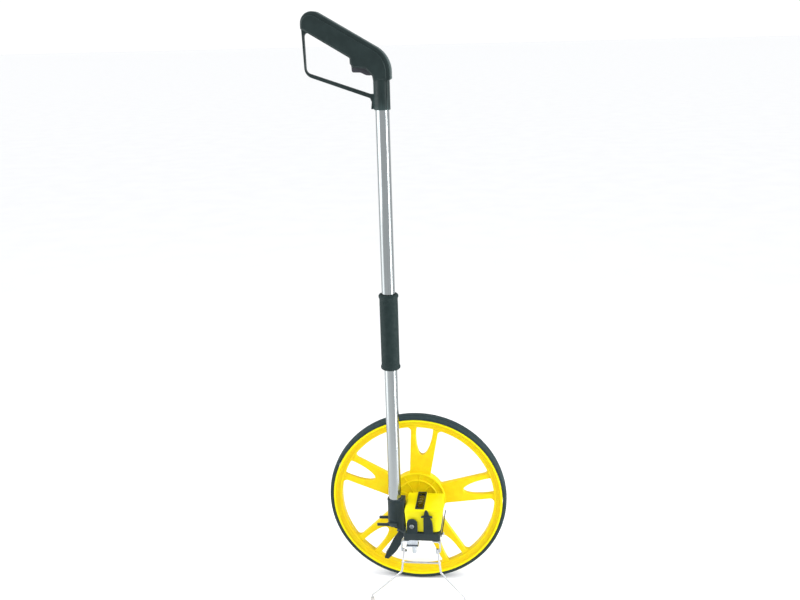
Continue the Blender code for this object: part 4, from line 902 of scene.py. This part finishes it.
def make_trigger():
    corners = [(-80.6, 924.0, 2.0), (-79.2, 906.8, 3.0), (-66.0, 906.4, 6.0), (-57.0, 902.2, 5.0)]
    corners += [(-48.6, 901.6, 3.0), (-47.2, 912.0, 5.0), (-56.0, 921.0, 3.0), (-74.0, 930.0, 3.0)]
    hole = circle((-52.0, 910.0), 1.9, 24)
    mesh = slab([rounded(corners, 6), hole], "XZ", POLE.y - 4.0, POLE.y + 4.0, 1.2, 3)
    show("trigger_moulding", mesh, trigger_grey, "trigger_grey", "trigger", "brake_trigger")


# ---------------------------------------------------------------- brake and stand

BRAKE_PIVOT = HUB + Vector((-24.0, -34.0, -50.0))
BRAKE_DOWN = Vector((-31.0, 0.0, -55.0)).normalized()
BRAKE_ACROSS = Vector((-BRAKE_DOWN.z, 0.0, BRAKE_DOWN.x))
BRAKE_LENGTH = 66.5


def make_brake():
    corners = [(-3.0, -5.8, 3.0), (-3.0, 5.8, 3.0), (24.5, 7.5, 8.0), (44.5, 6.0, 8.0)]
    corners += [(BRAKE_LENGTH, 4.0, 2.0), (BRAKE_LENGTH - 3.0, -3.4, 1.5)]
    corners += [(44.0, -8.4, 6.0), (22.5, -9.4, 3.0), (14.5, -6.4, 3.0)]
    flat = []
    for along, across, radius in corners:
        place = BRAKE_PIVOT + BRAKE_DOWN * along - BRAKE_ACROSS * across
        flat.append((place.x, place.z, radius))
    arm = slab([rounded(flat, 5)], "XZ", BRAKE_PIVOT.y - 2.5, BRAKE_PIVOT.y + 2.5, 0.8, 2)
    barrel = rod(BRAKE_PIVOT - BRAKE_ACROSS * 6.2, BRAKE_PIVOT + BRAKE_ACROSS * 6.2, 4.2, 40, 0.4)
    hole = rod(BRAKE_PIVOT - BRAKE_ACROSS * 12.0, BRAKE_PIVOT + BRAKE_ACROSS * 12.0, 1.8, 24)
    mesh = merged([arm, barrel], [hole])
    show("brake_blade", mesh, black, "black_plastic", "brake", "brake_arm")


STAND_Y = HUB.y - 86.0
STAND_FOOT_Y = HUB.y - 91.0
STAND_TOP = 103.0
STAND_KNEE = 60.0
STAND_TOE = 13.5
STAND_BAR = 78.0
STAND_X = {-1: (-16.5, -21.5, -75.0), 1: (41.5, 46.5, 88.0)}
WIRE_R = 1.7


def stand_depth(z):
    return STAND_Y + (STAND_FOOT_Y - STAND_Y) * (STAND_TOP - z) / (STAND_TOP - STAND_TOE)


def make_stand():
    legs = []
    ends = []
    for side, (top, knee, toe) in STAND_X.items():
        points = [
            (top + side * 6.0, STAND_Y, STAND_TOP),
            (top, STAND_Y, STAND_TOP),
            (knee, stand_depth(STAND_KNEE), STAND_KNEE),
            (toe, STAND_FOOT_Y, STAND_TOE),
            (toe, STAND_FOOT_Y, 2.2),
        ]
        legs.append(pipe(bent(points, 6.0), WIRE_R))
        x = top + (knee - top) * (STAND_TOP - STAND_BAR) / (STAND_TOP - STAND_KNEE)
        ends.append((x, stand_depth(STAND_BAR), STAND_BAR))
    bar = pipe(ends, 1.5)
    welds = []
    for x, y, z in ends:
        bead = [(0.0, 2.6), (1.2, 2.4), (2.0, 1.6), (2.3, 0.0), (2.0, -1.6), (1.2, -2.4), (0.0, -2.6)]
        welds.append(turned(bead, (x, y, z), "Z", 24))
    mesh = merged([legs[0], bar, legs[1], *welds])
    show("stand_frame", mesh, wire_steel, "steel", "stand", "stand_wire", angle=50.0)
    for side, name in ((-1, "left"), (1, "right")):
        toe = STAND_X[side][2]
        profile = [(0.0, 1.9, 0.0), (2.0, 1.9, 0.0), (2.0, 8.0, 0.2), (3.0, 8.0, 0.4), (3.6, 6.6, 0.6)]
        profile += [(3.3, 4.6, 0.3), (3.8, 4.0, 0.3), (3.8, 0.0, 0.5), (0.0, 0.0, 0.0)]
        mesh = turned(rounded(profile, 3), (toe, STAND_FOOT_Y, 0.0), "Z", 40)
        show("foot_cap_" + name, mesh, nylon, "nylon_grey", "stand", "stand_foot_" + name)


# ---------------------------------------------------------------- CAD nodes that stay

KEPT = {
    tube_metal_painted_dark: ("pole_tube_lower", "pole_tube_upper"),
    steel: (
        "axle", "axle_washer_front", "axle_washer_back", "axle_nut", "axle_collar", "counter_shaft",
        "bracket_screw_1", "bracket_screw_2", "hinge_pin_lower", "hinge_pin_upper",
        "fold_link", "trigger_pin", "trigger_spring", "brake_pin", "reset_pin",
    ),
    brass: ("drive_gear", "counter_gear", "bearing_front", "bearing_back"),
    nylon: ("hinge_plug_lower", "hinge_plug_upper"),
    drum_black: ("counter_frame", *("digit_drum_%d" % k for k in range(1, 6))),
    black: ("window_frame", "brake_clevis", "reset_lever"),
    pad_rubber: ("brake_pad",),
    zinc: ("stand_clip_left", "stand_clip_right", "clamp_plate", "clamp_spacer", "clamp_bolt", "clamp_nut"),
}
# How wide the sharp edges of some of them are rounded
EDGE = {
    "stand_clip_left": 0.3, "stand_clip_right": 0.3, "clamp_plate": 0.2, "clamp_spacer": 0.2,
    "clamp_bolt": 0.3, "axle_nut": 0.5, "reset_lever": 0.3, "window_frame": 0.25,
    "brake_clevis": 0.3, "fold_link": 0.3,
}


def dress_kept_nodes():
    for material, names in KEPT.items():
        for name in names:
            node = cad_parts[name]
            if not node.material_slots:
                node.data.materials.append(material)
            for place in node.material_slots:
                place.material = material
            weld = node.modifiers.new("weld", "WELD")
            weld.merge_threshold = 1e-5
            if name in EDGE:
                bevel = node.modifiers.new("edge", "BEVEL")
                bevel.width = EDGE[name] * MM
                bevel.segments = 2
                bevel.limit_method = "ANGLE"
                bevel.angle_limit = math.radians(40)


# ---------------------------------------------------------------- studio

CAMERA_PLACE = Vector((0.1741, -1.5049, 0.9641))
CAMERA_TURN = (math.radians(74.27), 0.0, math.radians(6.44))
CAMERA_ROLL = math.radians(-1.46)
CAMERA_LENS = 42.75
CAMERA_SHIFT = -0.0163
SUBJECT = Vector((0.0, 0.0, 0.45))


def make_camera():
    camera = bpy.data.cameras.new("photo_camera")
    camera.lens = CAMERA_LENS
    camera.sensor_width = 36.0
    camera.shift_x = CAMERA_SHIFT
    camera.clip_start = 0.01
    holder = bpy.data.objects.new("photo_camera", camera)
    turn = Euler(CAMERA_TURN).to_matrix().to_4x4() @ Matrix.Rotation(CAMERA_ROLL, 4, "Z")
    holder.matrix_world = Matrix.Translation(CAMERA_PLACE) @ turn
    bpy.context.scene.collection.objects.link(holder)
    bpy.context.scene.camera = holder


def make_softbox(name, place, target, width, height, power):
    light = bpy.data.lights.new(name, "AREA")
    light.shape = "RECTANGLE"
    light.size = width
    light.size_y = height
    light.energy = power
    holder = bpy.data.objects.new(name, light)
    holder.location = place
    holder.rotation_euler = (Vector(target) - Vector(place)).to_track_quat("-Z", "Y").to_euler()
    holder.visible_camera = False
    bpy.context.scene.collection.objects.link(holder)


def make_studio():
    world = bpy.data.worlds.new("studio")
    bpy.context.scene.world = world
    world.use_nodes = True
    tree = world.node_tree
    around = tree.nodes["Background"]
    around.inputs["Color"].default_value = (0.97, 0.985, 1.0, 1.0)
    around.inputs["Strength"].default_value = 0.76
    seen = tree.nodes.new("ShaderNodeBackground")
    seen.inputs["Color"].default_value = (1.0, 1.0, 1.0, 1.0)
    seen.inputs["Strength"].default_value = 1.05
    path = tree.nodes.new("ShaderNodeLightPath")
    choice = tree.nodes.new("ShaderNodeMixShader")
    tree.links.new(path.outputs["Is Camera Ray"], choice.inputs[0])
    tree.links.new(around.outputs[0], choice.inputs[1])
    tree.links.new(seen.outputs[0], choice.inputs[2])
    tree.links.new(choice.outputs[0], tree.nodes["World Output"].inputs["Surface"])

    sky = bpy.data.lights.new("sky", "SUN")
    sky.energy = 1.1
    sky.angle = math.radians(110)
    holder = bpy.data.objects.new("sky", sky)
    holder.rotation_euler = (math.radians(12), math.radians(-14), 0.0)
    bpy.context.scene.collection.objects.link(holder)
    make_softbox("key_left", (-1.5, -0.75, 1.1), SUBJECT, 0.8, 1.6, 13.0)
    make_softbox("strip_left", (-0.8, -0.12, 0.6), (-0.03, -0.02, 0.6), 0.6, 1.25, 4.5)
    make_softbox("strip_right", (0.61, -0.14, 0.62), (-0.03, -0.02, 0.62), 0.16, 1.3, 8.0)
    bpy.context.scene.view_settings.view_transform = "Standard"

    floor = bpy.data.meshes.new("floor")
    shape = bmesh.new()
    bmesh.ops.create_grid(shape, x_segments=8, y_segments=8, size=80.0)
    shape.to_mesh(floor)
    shape.free()
    floor.materials.append(floor_finish())
    ground = bpy.data.objects.new("floor", floor)
    ground.location = (0.0, 0.0, -0.0003)
    bpy.context.scene.collection.objects.link(ground)


make_camera()
make_studio()
make_wheel()
make_cover()
make_window()
make_base()
make_screws()
make_digits()
make_socket()
make_sleeve()
make_handle()
make_trigger()
make_brake()
make_stand()
dress_kept_nodes()
